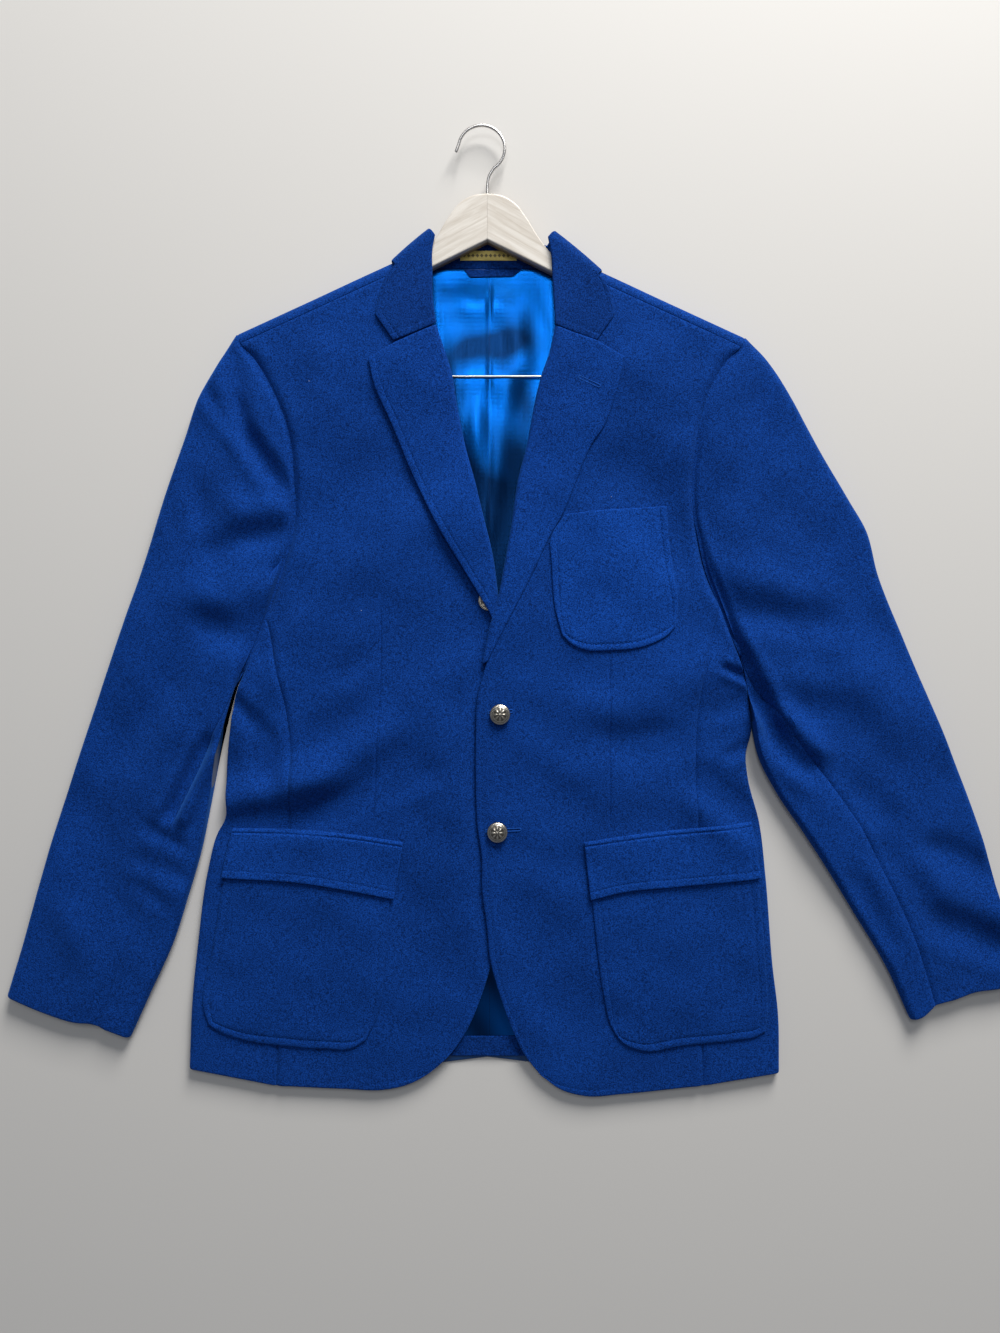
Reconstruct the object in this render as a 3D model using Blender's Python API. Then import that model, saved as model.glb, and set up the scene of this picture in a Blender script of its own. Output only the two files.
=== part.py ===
"""Single breasted blazer laid flat on its back, with a wooden hanger inside it.

The frame: metres, +Z up from the surface that the back rests on, +Y from the hem towards the collar and the
hook, +X towards the wearer's left. The tables below are in millimetres. "left" and "right" are the wearer's.

Every cloth piece is a wall: an outer surface on a grid of rows and columns, and the same surface moved inwards
by the cloth's thickness. A piece that turns over an edge (side, shoulder, sleeve, lapel, collar) follows a half
round fold between the height of its upper ply and that of its lower ply.
"""
import math

import bmesh
import bpy
import numpy as np

MM = 0.001

# Thicknesses of the plies
BACK_WALL = 1.6
SIDE_WALL = 1.8
FRONT_WALL = 2.0
SLEEVE_WALL = 1.8
LAPEL_WALL = 1.6
COLLAR_WALL = 1.4
POCKET_WALL = 1.6
FLAP_WALL = 1.8
LINING_WALL = 1.0
LABEL_WALL = 0.8

# Clearances
SEAM = 0.4          # between two pieces sewn edge to edge, measured across the body
PLY_GAP = 0.5       # between a piece and the panel that it lies on
SHEET_GAP = 0.3     # between the back and its lining
ARMHOLE_GAP = 0.6   # between the body's armhole and the seam line, and again between that and the sleeve
SEAM_STEPS = 10     # rows along a side seam, the same on both pieces that meet there

# Heights of the garment
BODY_LOFT = 8.6     # lower body, floor to the top of the fronts
TENT_LOFT = 20.5    # over the hanger's arms
TENT_NEAR = 45.0    # the cloth leaves the hanger this far below the shoulder line
TENT_FAR = 230.0    # and has come down to the lower body's loft here
OVERLAP_DIP = 2.6   # the right front lies this much lower under the left one
COLLAR_STEP = 2.0   # the back stands this far off the floor over the collar's fall
SLEEVE_LOFT = [(0.0, 19.0), (0.25, 17.0), (0.6, 14.5), (1.0, 12.5)]    # (place down the sleeve, loft)

# The shoulder line, seen from the front: a straight slope on each side of the neck
NECK_X = -24.0
SHOULDER_PEAK = 372.0
SHOULDER_SLOPE = 0.46
SHOULDER_SEAM = 11.0    # the back comes over the shoulder this far to its seam

# The hanger
ARM_UNDER = 6.0
ARM_DEPTH = 12.0
ARM_EASE = 1.6      # the arms' eased edges
HOOK_WIRE = 1.5
BAR_WIRE = 1.0
BAR_Z = 8.6
BAR_Y = 224.5

SIGN = {"left": 1, "right": -1}

# Outlines, as (x, y) points on smooth curves. Folds give the outermost line, seams the line of stitching.
SIDE_SEAM = {    # hem to armhole
    "left": [(182, -452), (180, -322), (178, -207), (176, -170), (178, -95), (186, -42), (198, 5)],
    "right": [(-226, -452), (-220, -322), (-214, -207), (-212, -170), (-217, -93), (-227, -48), (-235, -6)],
}
SIDE_FOLD = {    # hem to armhole
    "left": [(255, -440), (254, -383), (249, -340), (242, -252), (236, -201), (225, -158), (221, -138),
             (226, -107), (224, -89), (219, -65), (216, -45)],
    "right": [(-309, -436), (-306, -367), (-301, -317), (-291, -245), (-282, -211), (-275, -198), (-274, -170),
              (-272, -129), (-265, -79)],
}
ARMHOLE = {      # shoulder point to underarm
    "left": [(220, 260), (215.4, 250), (203, 238), (188, 213), (177.5, 181), (172.6, 151), (170.7, 117),
             (172.6, 92), (176.5, 74), (184, 41), (198, 5), (209, -23), (217, -43)],
    "right": [(-261, 263), (-256.4, 253), (-245, 240), (-232, 219), (-219, 192), (-211, 164), (-207, 129),
              (-207, 94), (-211, 68), (-220, 38), (-235, -6), (-252, -47), (-269, -80)],
}
ARM_FRONT_SHARES = {    # rows of the front along the armhole, 0 at the shoulder point and 1 at the underarm
    "left": [0.801, 0.673, 0.544, 0.416, 0.287, 0.159],
    "right": [0.740, 0.673, 0.544, 0.416, 0.287, 0.159],
}
ARM_BACK_SHARES = {
    "left": [0.780, 0.595, 0.408, 0.220, 0.125],
    "right": [0.690, 0.595, 0.408, 0.220, 0.125],
}
FRONT_EDGE = {   # turn of the cutaway to the break of the lapel
    "left": [(27, -442), (11, -422), (0, -399), (-12, -366), (-21, -333), (-25, -296), (-29, -267), (-30, -228),
             (-33, -209), (-35, -170), (-35, -114), (-33, -69), (-29, -50)],
    "right": [(-72, -434), (-60, -423), (-44, -400), (-31, -370), (-20, -336), (-9, -295), (2, -245), (9, -190),
              (11, -130), (8, -85), (0, -50)],
}
ROLL = {         # break of the lapel to the gorge
    "left": [(-29, -50), (-26, -35), (-21, -11), (-13.5, 15), (-9, 39), (-1.6, 80), (5, 125), (14, 161),
             (19, 189), (26.6, 222), (35, 246), (39.6, 269)],
    "right": [(0, -50), (-8, -15), (-14, 20), (-17.7, 48), (-29, 96), (-36, 125), (-44, 154), (-52, 192),
              (-58, 227), (-66, 252), (-72, 270)],
}
LAPEL_EDGE = {   # lower tip to the notch corner
    "left": [(-24, -47), (-17, -33), (-2, -4), (18, 35), (35, 71), (48, 94), (59, 121), (77, 162), (85, 173),
             (96, 202), (105, 239)],
    "right": [(-22, -1), (-29, 11), (-44, 36), (-70, 79), (-95, 130), (-115, 178), (-132, 218), (-136, 239)],
}
LAPEL_TOP = {    # gorge at the roll, end of the gorge at the notch, lapel corner
    "left": [(39.6, 268), (79, 254), (105, 239)],
    "right": [(-72, 270), (-110, 253.5), (-136, 239)],
}
HEM = {          # turn of the cutaway to the side seam
    "left": [(27, -442), (47, -456), (70, -462), (105, -460), (163, -454), (182, -452)],
    "right": [(-72, -434), (-84, -443), (-103, -452), (-123, -456), (-162, -455), (-226, -452)],
}
SHOULDER_NECK = {"left": 60, "right": -100}     # x where the shoulder line meets the neck seam
SLEEVE_OUTER = {    # shoulder point to cuff
    "left": [(221, 260), (243, 237), (268, 196), (294, 150), (320, 106), (336, 78), (348, 34), (372, -25),
             (412, -120), (450, -222), (465, -276), (482, -353)],
    "right": [(-262, 263), (-279, 236), (-298, 204), (-312, 164), (-332, 107), (-346, 61), (-376, -27),
              (-412, -134), (-440, -221), (-467, -316), (-482, -366)],
}
SLEEVE_INNER = {    # underarm to cuff
    "left": [(220, -43), (228, -74), (231, -111), (236, -138), (251, -171), (278, -211), (302, -248), (327, -289),
             (356, -337), (380, -389)],
    "right": [(-272, -81), (-278, -105), (-281, -129), (-285, -159), (-290, -190), (-298, -231), (-310, -272),
              (-323, -313), (-346, -364), (-365, -406)],
}
CUFF = {            # outer edge to inner edge
    "left": [(482, -353), (465, -358), (439, -362), (420, -369), (403, -374), (389, -386), (380, -389)],
    "right": [(-482, -366), (-447, -381), (-414, -391), (-400, -392), (-386, -398), (-365, -406)],
}
FOREARM_SEAM = [(0.0, 0.93), (0.3, 0.74), (0.6, 0.68), (1.0, 0.75)]  # (down the sleeve, share of the width)
ELBOW_SEAM = 0.22   # share of the width, underneath

# The collar: rows from its left front end, over the left shoulder, round the back and to its right front end
COLLAR_ROLL = {
    "left": [(39.6, 269.5), (38.5, 290), (37, 310), (34, 335), (30.6, 352)],
    "right": [(-72, 271), (-74.5, 292), (-73.5, 319), (-70, 342), (-65.6, 355)],
}
COLLAR_END = {"left": [(79, 255), (96, 279)], "right": [(-112.5, 255), (-129.5, 279)]}
COLLAR_EDGE = {
    "left": [(96, 279), (92, 298), (87, 309), (80.2, 316.5)],
    "right": [(-129.5, 279), (-124, 303), (-119, 316), (-110.7, 325.5)],
}
COLLAR_CREASE = {"left": (0.586, 0.811), "right": (-0.544, 0.838)}   # outward direction of the shoulder crease
CREASE_RADIUS = 11.6
COLLAR_BACK_ROLL = [(30.6, 352), (5, 356), (-24, 357), (-48, 357), (-65.6, 355)]
COLLAR_BACK_EDGE = [(80.2, 316.5), (40, 309), (-20, 306), (-70, 309), (-110.7, 325.5)]
COLLAR_PUFF = 1.6   # the roll stands this much above the fall
COLLAR_ROLL_RADIUS = 2.0

# Patch pockets and flaps: corner to corner outlines
POCKET = {
    "chest_pocket": {
        "left": [(47, -22), (41, 0), (37, 47), (36, 70), (50, 93)],
        "bottom": [(47, -22), (56, -31), (70, -36.5), (92, -37), (128, -32), (149, -21), (155, -14)],
        "right": [(155, -14), (157.5, 4), (153, 40), (149, 73), (147, 101)],
        "top": [(50, 93), (98, 98), (147, 101)],
    },
    "hip_pocket_left": {
        "left": [(100, -405), (94, -395), (87, -367), (81, -325), (76, -276), (73, -230)],
        "bottom": [(100, -405), (106, -411), (124, -418), (163, -413), (212, -408), (232, -405), (241, -400)],
        "right": [(241, -400), (243, -380), (240, -325), (236, -276), (229, -222)],
        "top": [(73, -230), (124, -225), (182, -220), (229, -222)],
    },
    "hip_pocket_right": {
        "left": [(-289, -393), (-294, -379), (-287, -327), (-283, -304), (-275, -257), (-264, -222)],
        "bottom": [(-289, -393), (-283, -397), (-259, -407), (-219, -413), (-181, -416), (-152, -415), (-140, -408)],
        "right": [(-140, -408), (-130, -388), (-121, -325), (-117, -276), (-112, -232)],
        "top": [(-264, -222), (-190, -222), (-112, -232)],
    },
}
FLAP = {
    "flap_left": {
        "left": [(74, -274), (68, -219)],
        "bottom": [(74, -274), (105, -267), (163, -261), (221, -255), (236, -253)],
        "right": [(236, -253), (228, -200)],
        "top": [(68, -219), (124, -211), (182, -205), (228, -200)],
    },
    "flap_right": {
        "left": [(-277, -253), (-267, -206)],
        "bottom": [(-277, -253), (-200, -258), (-113, -274)],
        "right": [(-113, -274), (-104, -219)],
        "top": [(-267, -206), (-190, -208), (-104, -219)],
    },
}
FLAP_RAMP = 10.0    # the flap climbs onto the pocket over this distance below its seam

# Heights of the rolled edge over the chest, against y
FRONT_LIFT = {
    "left": [(-110, 0), (-55, 2.5), (-10, 5), (40, 4), (120, 2), (270, 0.5)],
    "right": [(-110, 0), (60, 0), (120, 0.5), (270, 0.5)],
}
LAPEL_LIFT = {
    "left": [(-55, 0), (120, 0.5), (270, 0.5)],
    "right": [(-5, 4.3), (20, 4.3), (60, 2), (120, 1), (270, 0.5)],
}
LIFT_REACH = 35.0
ROLL_RADIUS = 3.5
ROLL_INSET = 3.8    # a front stops this far inside its lapel's roll
# Back lining and the turned-up hem, either side of the centre seam
LINING_HALF = 96.0
LINING_HALF_TOP = 70.0    # at the neck
LINING_TOP = 328.0
LINING_HEM = -406.0
HEM_BOTTOM = -425.5
BACK_HEM = -427.0
NECK_EDGE = 329.0

# Buttons: (name, x, y, height of the face's base above the cloth, diameter, dome height)
BUTTONS = [
    ("button_upper", -12.0, -97.6, 1.6, 19.6, 4.4),
    ("button_lower", -14.5, -209.6, 1.6, 19.6, 4.4),
    ("button_roll", -23.0, 11.0, 0.3, 19.6, 2.6),
]
SHANK_RADIUS = 2.2

COLOURS = {    # name: (red, green, blue), roughness, metallic
    "wool": ((0.006, 0.024, 0.110), 0.9, 0.0),
    "satin": ((0.004, 0.120, 0.560), 0.3, 0.0),
    "label_weave": ((0.420, 0.310, 0.090), 0.7, 0.0),
    "hanger_wood": ((0.800, 0.720, 0.590), 0.45, 0.0),
    "hook_steel": ((0.700, 0.690, 0.670), 0.25, 1.0),
    "button_metal": ((0.420, 0.380, 0.300), 0.35, 1.0),
}


# ---------------------------------------------------------------- curves and heights

def smoothstep(share):
    share = np.clip(share, 0.0, 1.0)
    return share * share * (3.0 - 2.0 * share)


def curve(points, steps, first=0, last=None):
    """Even steps along a smooth curve through a table's rows, from row `first` to row `last`."""
    rows = np.array(points, float)
    last = len(rows) - 1 if last is None else last
    if len(rows) == 2:
        return np.linspace(rows[0], rows[1], steps + 1)
    chord = np.concatenate([[0.0], np.cumsum(np.linalg.norm(np.diff(rows, axis=0), axis=1))])
    slope = np.gradient(rows, chord, axis=0)
    fine = 24
    index = np.repeat(np.arange(len(rows) - 1), fine)
    part = np.tile(np.arange(fine) / fine, len(rows) - 1)[:, None]
    reach = np.diff(chord)[index][:, None]
    path = (rows[index] * (1 + 2 * part) * (1 - part) ** 2
            + rows[index + 1] * part ** 2 * (3 - 2 * part)
            + slope[index] * reach * part * (1 - part) ** 2
            + slope[index + 1] * reach * part ** 2 * (part - 1))
    path = np.vstack([path, rows[-1:]])[first * fine:last * fine + 1]
    length = np.concatenate([[0.0], np.cumsum(np.linalg.norm(np.diff(path, axis=0), axis=1))])
    even = np.linspace(0.0, length[-1], steps + 1)
    return np.column_stack([np.interp(even, length, path[:, axis]) for axis in range(2)])


def walk(*runs):
    """Several runs of points joined end to end, each starting where the one before it ends."""
    return np.vstack([runs[0]] + [run[1:] for run in runs[1:]])


def table(rows, at):
    """A two-column table read at the given places, straight between its rows."""
    columns = np.array(rows, float)
    return np.interp(at, columns[:, 0], columns[:, 1])


def shoulder_line(x):
    """Height on the page of the shoulder's outermost line above each x."""
    return SHOULDER_PEAK - SHOULDER_SLOPE * np.abs(x - NECK_X)


def shoulder_out(side):
    """Unit direction square to the shoulder line, away from the body."""
    angle = math.atan(SHOULDER_SLOPE)
    return np.array([SIGN[side] * math.sin(angle), math.cos(angle)])


def body_top(x, y):
    """Outer face of the fronts: high over the hanger's arms, coming down to the lower body's loft."""
    below = shoulder_line(x) - y
    tent = smoothstep((TENT_FAR - below) / (TENT_FAR - TENT_NEAR))
    return BODY_LOFT + (TENT_LOFT - BODY_LOFT) * tent


def floor_rise(x, y):
    """Outer face of the back: on the floor, and a step up over the collar's fall."""
    return COLLAR_STEP * smoothstep((y - 185.0) / 60.0) * smoothstep((160.0 - np.abs(x - NECK_X)) / 40.0)


def lining_rise(y):
    """Lower face of the lining above the back's: it starts up towards the neck before the back does."""
    return COLLAR_STEP * smoothstep((y - 95.0) / 90.0)


def roll_distance(side, x, y):
    """Distance across the body from a front's roll line or front edge."""
    line = np.array(FRONT_EDGE[side] + ROLL[side][1:], float)
    return np.abs(x - np.interp(y, line[:, 1], line[:, 0]))


def front_top(side, x, y):
    """Outer face of one front, with its rolled edge and, on the right, the dip under the left front."""
    lift = table(FRONT_LIFT[side], y) * np.exp(-(roll_distance(side, x, y) / LIFT_REACH) ** 2)
    top = body_top(x, y) + lift
    if side == "right":
        top = top - OVERLAP_DIP * smoothstep((x + 85.0) / 45.0) * smoothstep((110.0 - y) / 80.0)
    return top


# ---------------------------------------------------------------- grids

def coons(bottom, top, left, right):
    """Plan of a panel from its four edges: each point is worked out from the edges' points level with it."""
    across = np.linspace(0, 1, len(bottom))[None, :, None]
    up = np.linspace(0, 1, len(left))[:, None, None]
    between_sides = (1 - across) * left[:, None, :] + across * right[:, None, :]
    between_ends = (1 - up) * bottom[None, :, :] + up * top[None, :, :]
    corners = ((1 - up) * ((1 - across) * bottom[0] + across * bottom[-1])
               + up * ((1 - across) * top[0] + across * top[-1]))
    return between_sides + between_ends - corners


def with_height(plan, height):
    return np.dstack([plan[..., 0], plan[..., 1], height])


def fold(girth, radius, depth):
    """A half round turn between two plies, followed at some depth below the cloth's outer face.

    Gives the distance in from the outermost line, the share of the height between the plies' outer faces, and
    what the depth takes off that height.
    """
    arc = np.clip(girth / radius, -math.pi / 2, math.pi / 2)
    flat = np.maximum(np.abs(girth) - radius * math.pi / 2, 0.0)
    run = radius * (1 - np.cos(arc)) + depth * np.cos(arc) + flat
    return run, (1 + np.sin(arc)) / 2, depth * np.sin(arc)


def columns(marks, steps):
    """Columns of a grid: for each row, even steps from each mark to the next."""
    parts = [marks[0][:, None]]
    for start, stop, count in zip(marks, marks[1:], steps):
        parts.append(np.linspace(start, stop, count + 1, axis=1)[:, 1:])
    return np.hstack(parts)


def arm_points(side, shares):
    """Points on the armhole at shares of its length from the shoulder point."""
    line = curve(ARMHOLE[side], 200)
    return np.column_stack([np.interp(shares, np.linspace(0, 1, 201), line[:, axis]) for axis in range(2)])


# ---------------------------------------------------------------- objects

def material(name):
    found = bpy.data.materials.get(name)
    if found:
        return found
    colour, roughness, metallic = COLOURS[name]
    made = bpy.data.materials.new(name)
    made.use_nodes = True
    shader = made.node_tree.nodes["Principled BSDF"]
    shader.inputs["Base Color"].default_value = (*colour, 1.0)
    shader.inputs["Roughness"].default_value = roughness
    shader.inputs["Metallic"].default_value = metallic
    return made


def add_object(name, shape, finish):
    """A bmesh, in metres, made into a named object with its faces turned outwards."""
    bmesh.ops.recalc_face_normals(shape, faces=shape.faces)
    mesh = bpy.data.meshes.new(name)
    shape.to_mesh(mesh)
    shape.free()
    mesh.materials.append(material(finish))
    item = bpy.data.objects.new(name, mesh)
    bpy.context.scene.collection.objects.link(item)
    return item


def wall(name, outer, inner, finish="wool"):
    """Closed solid between two grids of the same size, with a rim all round."""
    rows, cols = outer.shape[:2]
    number = np.arange(rows * cols).reshape(rows, cols)
    under = number + rows * cols

    def quads(grid):
        return np.stack([grid[:-1, :-1], grid[:-1, 1:], grid[1:, 1:], grid[1:, :-1]], axis=-1).reshape(-1, 4)

    rim = np.concatenate([number[0, :-1], number[:-1, -1], number[-1, :0:-1], number[:0:-1, 0]])
    rim_under = rim + rows * cols
    sides = np.stack([rim, rim_under, np.roll(rim_under, -1), np.roll(rim, -1)], axis=-1)
    faces = np.vstack([quads(number), quads(under)[:, ::-1], sides]).tolist()
    points = np.vstack([outer.reshape(-1, 3), inner.reshape(-1, 3)]) * MM
    sheet = bpy.data.meshes.new(name)
    sheet.from_pydata(points.tolist(), [], faces)
    shape = bmesh.new()
    shape.from_mesh(sheet)
    bpy.data.meshes.remove(sheet)
    return add_object(name, shape, finish)


def ply(name, plan, height, thickness, finish="wool"):
    """A piece that lies on something: its lower face at the given height, its upper one a thickness above."""
    return wall(name, with_height(plan, height + thickness), with_height(plan, height), finish)


# ---------------------------------------------------------------- body

def shoulder_point(side, x):
    return np.array([x, shoulder_line(x)])


def moved_in(points, side, distance):
    """An edge moved towards the middle of the body, to leave room for a seam."""
    return points - np.array([SIGN[side] * distance, 0.0])


def build_back(side):
    """From the centre-back seam to the side seam and armhole, up and over the shoulder to its seam."""
    out = shoulder_out(side)
    radius = TENT_LOFT / 2
    neck = shoulder_point(side, SHOULDER_NECK[side])
    tip = shoulder_point(side, ARMHOLE[side][0][0] - SIGN[side] * 2 * ARMHOLE_GAP)
    crest = np.linspace(neck, tip, 7)
    top = crest - out * radius
    middle = np.array([NECK_X + SIGN[side] * SEAM / 2, NECK_EDGE])
    left = walk(np.linspace([middle[0], BACK_HEM], middle, 13), np.linspace(middle, top[0], 5))
    seam = moved_in(curve(SIDE_SEAM[side], SEAM_STEPS), side, SEAM / 2)
    arm = moved_in(arm_points(side, ARM_BACK_SHARES[side]), side, ARMHOLE_GAP)
    right = np.vstack([seam, arm, top[-1:]])
    bottom = np.linspace(left[0], right[0], 7)
    plan = coons(bottom, top, left, right)
    flat = with_height(plan, floor_rise(plan[..., 0], plan[..., 1]))
    flat_inner = flat + [0.0, 0.0, BACK_WALL]
    turns = np.append(np.linspace(-math.pi / 2, math.pi / 2, 6)[1:], math.pi / 2)[:, None]
    past = np.append(np.zeros(5), SHOULDER_SEAM - radius)[:, None]

    def arch(depth):
        inset = radius - (radius - depth) * np.cos(turns) + past
        low = floor_rise(top[:, 0], top[:, 1])
        share = (1 + np.sin(turns)) / 2
        over = crest[None] - out * inset[..., None]
        return with_height(over, low + (TENT_LOFT - low) * share - depth * np.sin(turns))

    wall(f"back_{side}", np.concatenate([flat, arch(0.0)]), np.concatenate([flat_inner, arch(BACK_WALL)]))


def build_side(side):
    """Side body, from the front's seam round the side fold to the back's seam."""
    seam = moved_in(curve(SIDE_SEAM[side], SEAM_STEPS), side, -SEAM / 2)
    edge = curve(SIDE_FOLD[side], SEAM_STEPS)
    width = np.linalg.norm(edge - seam, axis=1)[:, None]
    radius = body_top(edge[:, 0], edge[:, 1]) / 2
    arc = radius * math.pi / 2
    reach = arc + width[:, 0] - radius
    girth = columns([-reach, -arc, arc, reach], [2, 4, 2])

    def face(depth):
        run, share, drop = fold(girth, radius[:, None], depth)
        plan = edge[:, None] + (seam - edge)[:, None] * (run / width)[..., None]
        return with_height(plan, body_top(plan[..., 0], plan[..., 1]) * share - drop)

    wall(f"side_{side}", face(0.0), face(SIDE_WALL))


def build_front(side):
    """From the cutaway, front edge and roll to the side seam and armhole, up to the shoulder seam."""
    out = shoulder_out(side)
    inset = out * (SHOULDER_SEAM + SEAM)
    neck = shoulder_point(side, SHOULDER_NECK[side]) - inset
    tip = np.array(ARMHOLE[side][0]) - inset - [SIGN[side] * ARMHOLE_GAP, 0]
    roll = moved_in(curve(ROLL[side], 6), side, -ROLL_INSET)
    edge = curve(FRONT_EDGE[side], 8)
    edge[-1] = roll[0]
    left = walk(edge, roll, np.linspace(roll[-1], neck, 4))
    seam = moved_in(curve(SIDE_SEAM[side], SEAM_STEPS), side, SEAM / 2)
    arm = moved_in(arm_points(side, ARM_FRONT_SHARES[side]), side, ARMHOLE_GAP)
    right = np.vstack([seam, arm, tip])
    bottom = curve(HEM[side], 9)
    bottom[-1] = right[0]
    top = np.linspace(neck, tip, 10)
    plan = coons(bottom, top, left, right)
    ply(f"front_{side}", plan, front_top(side, plan[..., 0], plan[..., 1]) - FRONT_WALL, FRONT_WALL)


def build_lapel(side):
    """Facing turned back over the chest, rolled a quarter round outside the front's edge."""
    roll = curve(ROLL[side], 12, 0 if side == "left" else 2)
    edge = curve(LAPEL_EDGE[side], 12)
    top = walk(curve(LAPEL_TOP[side][:2], 2), curve(LAPEL_TOP[side][1:], 2))
    width = np.linalg.norm(edge - roll, axis=1)
    arc = np.full(13, ROLL_RADIUS * math.pi / 2)
    reach = np.maximum(arc + width - ROLL_RADIUS, arc + 0.6)
    girth = columns([np.zeros(13), arc, reach], [3, 4])
    shares = np.linspace(0, 1, 5)
    bow = top - (top[0] + (top[-1] - top[0]) * shares[:, None])
    rise = (np.linspace(0, 1, 13) ** 4)[:, None, None]

    def face(depth):
        run, share, drop = fold(girth, ROLL_RADIUS, depth)
        across = run / width[:, None]
        bent = np.dstack([np.interp(across, shares, bow[:, axis]) for axis in range(2)])
        plan = roll[:, None] + (edge - roll)[:, None] * across[..., None] + bent * rise
        x, y = plan[..., 0], plan[..., 1]
        upper = front_top(side, x, y) + PLY_GAP + LAPEL_WALL + table(LAPEL_LIFT[side], y)
        return with_height(plan, upper - 2 * ROLL_RADIUS * (1 - share) - drop)

    wall(f"lapel_{side}", face(0.0), face(LAPEL_WALL))


# ---------------------------------------------------------------- collar

def collar_rows():
    """Rows of the collar: roll line, outer edge, crease direction and turn of each, left end to right end."""
    rows = []
    for side in ("left", "right"):
        roll = curve(COLLAR_ROLL[side], 6)
        edge = walk(np.array(COLLAR_END[side]), curve(COLLAR_EDGE[side], 5))
        crease = np.array(COLLAR_CREASE[side])
        part = [(roll[i], edge[i], crease, math.pi / 2) for i in range(7)]
        for turn in np.linspace(math.pi / 2, -math.pi / 2, 6)[1:]:
            part.append((roll[-1], edge[-1], crease, turn))
        rows.append(part)
    roll, edge = curve(COLLAR_BACK_ROLL, 6), curve(COLLAR_BACK_EDGE, 6)
    back = [(roll[i], edge[i], np.zeros(2), -math.pi / 2) for i in range(1, 6)]
    return rows[0] + back + rows[1][::-1]


def build_collar():
    """One band: it lies on the shoulders, turns over them at a crease and passes behind the neck."""
    rows = collar_rows()
    roll = np.array([row[0] for row in rows])
    edge = np.array([row[1] for row in rows])
    crease = np.array([row[2] for row in rows])
    turn = np.array([row[3] for row in rows])
    on_top = (turn > math.pi / 2 - 0.01)[:, None]
    behind = np.linalg.norm(crease, axis=1) < 0.5
    radius = COLLAR_ROLL_RADIUS
    width = np.linalg.norm(edge - roll, axis=1)
    arc = np.full(len(rows), radius * math.pi / 2)
    tuck = np.where(behind, arc + 3.0, 0.0)
    girth = columns([-tuck, arc, arc + width - radius], [4, 3])
    place = np.arange(len(rows))
    near = (smoothstep((place - 3) / 3.0) * smoothstep((len(rows) - 4 - place) / 3.0))[:, None]

    def face(depth):
        run, share, drop = fold(girth, radius, depth)
        plan = roll[:, None] + (edge - roll)[:, None] * (run / width[:, None])[..., None]
        x, y = plan[..., 0], plan[..., 1]
        puff = COLLAR_PUFF * np.exp(-(run / 12.0) ** 2) * np.clip((360.0 - y) / 90.0, 0, 1)
        upper = body_top(x, np.minimum(y, 318.0)) + PLY_GAP + COLLAR_WALL + puff
        upper = upper + (2 * CREASE_RADIUS - upper) * near
        below = 2 * radius * (1 - share) + drop
        turned = CREASE_RADIUS + (CREASE_RADIUS - below) * np.sin(turn)[:, None]
        swing = (CREASE_RADIUS - below) * np.cos(turn)[:, None]
        plan = plan + crease[:, None] * swing[..., None]
        return with_height(plan, np.where(on_top, upper - below, turned))

    wall("collar", face(0.0), face(COLLAR_WALL))


def build_collar_stand():
    """Inside of the collar behind the neck, from the neck seam to the roll."""
    top = curve([(30, 348), (-24, 351.5), (-68, 349.5)], 8)
    bottom = np.linspace([30, NECK_EDGE + 1.2], [-78, NECK_EDGE + 1.2], 9)
    ends = [np.linspace(bottom[k], top[k], 3) for k in (0, -1)]
    plan = coons(bottom, top, *ends)
    ply("collar_stand", plan, np.full(plan.shape[:2], 2 * COLLAR_ROLL_RADIUS - COLLAR_WALL), COLLAR_WALL)


# ---------------------------------------------------------------- sleeves

def sleeve_plan(side, across, down, outer, inner):
    """Plan points of the sleeve at a share of its width and of its length, its ends bent to armhole and cuff."""
    arm = moved_in(curve(ARMHOLE[side], 40), side, -ARMHOLE_GAP)
    cuff = curve(CUFF[side], 40)
    flat = outer[:, None] + (inner - outer)[:, None] * across[..., None]
    share = np.linspace(0, 1, 41)

    def bow(line, start, end):
        straight = start + (end - start) * across[..., None]
        return np.dstack([np.interp(across, share, line[:, axis]) for axis in range(2)]) - straight

    near_arm = ((1 - down) ** 2)[..., None]
    near_cuff = (down ** 3)[..., None]
    return flat + bow(arm, outer[0], inner[0]) * near_arm + bow(cuff, outer[-1], inner[-1]) * near_cuff


def sleeve_top(x, y, down):
    """Outer face of the sleeve: level with the body at the armhole, then its own loft."""
    return body_top(x, y) + (table(SLEEVE_LOFT, down) - body_top(x, y)) * smoothstep(down / 0.22)


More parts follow.
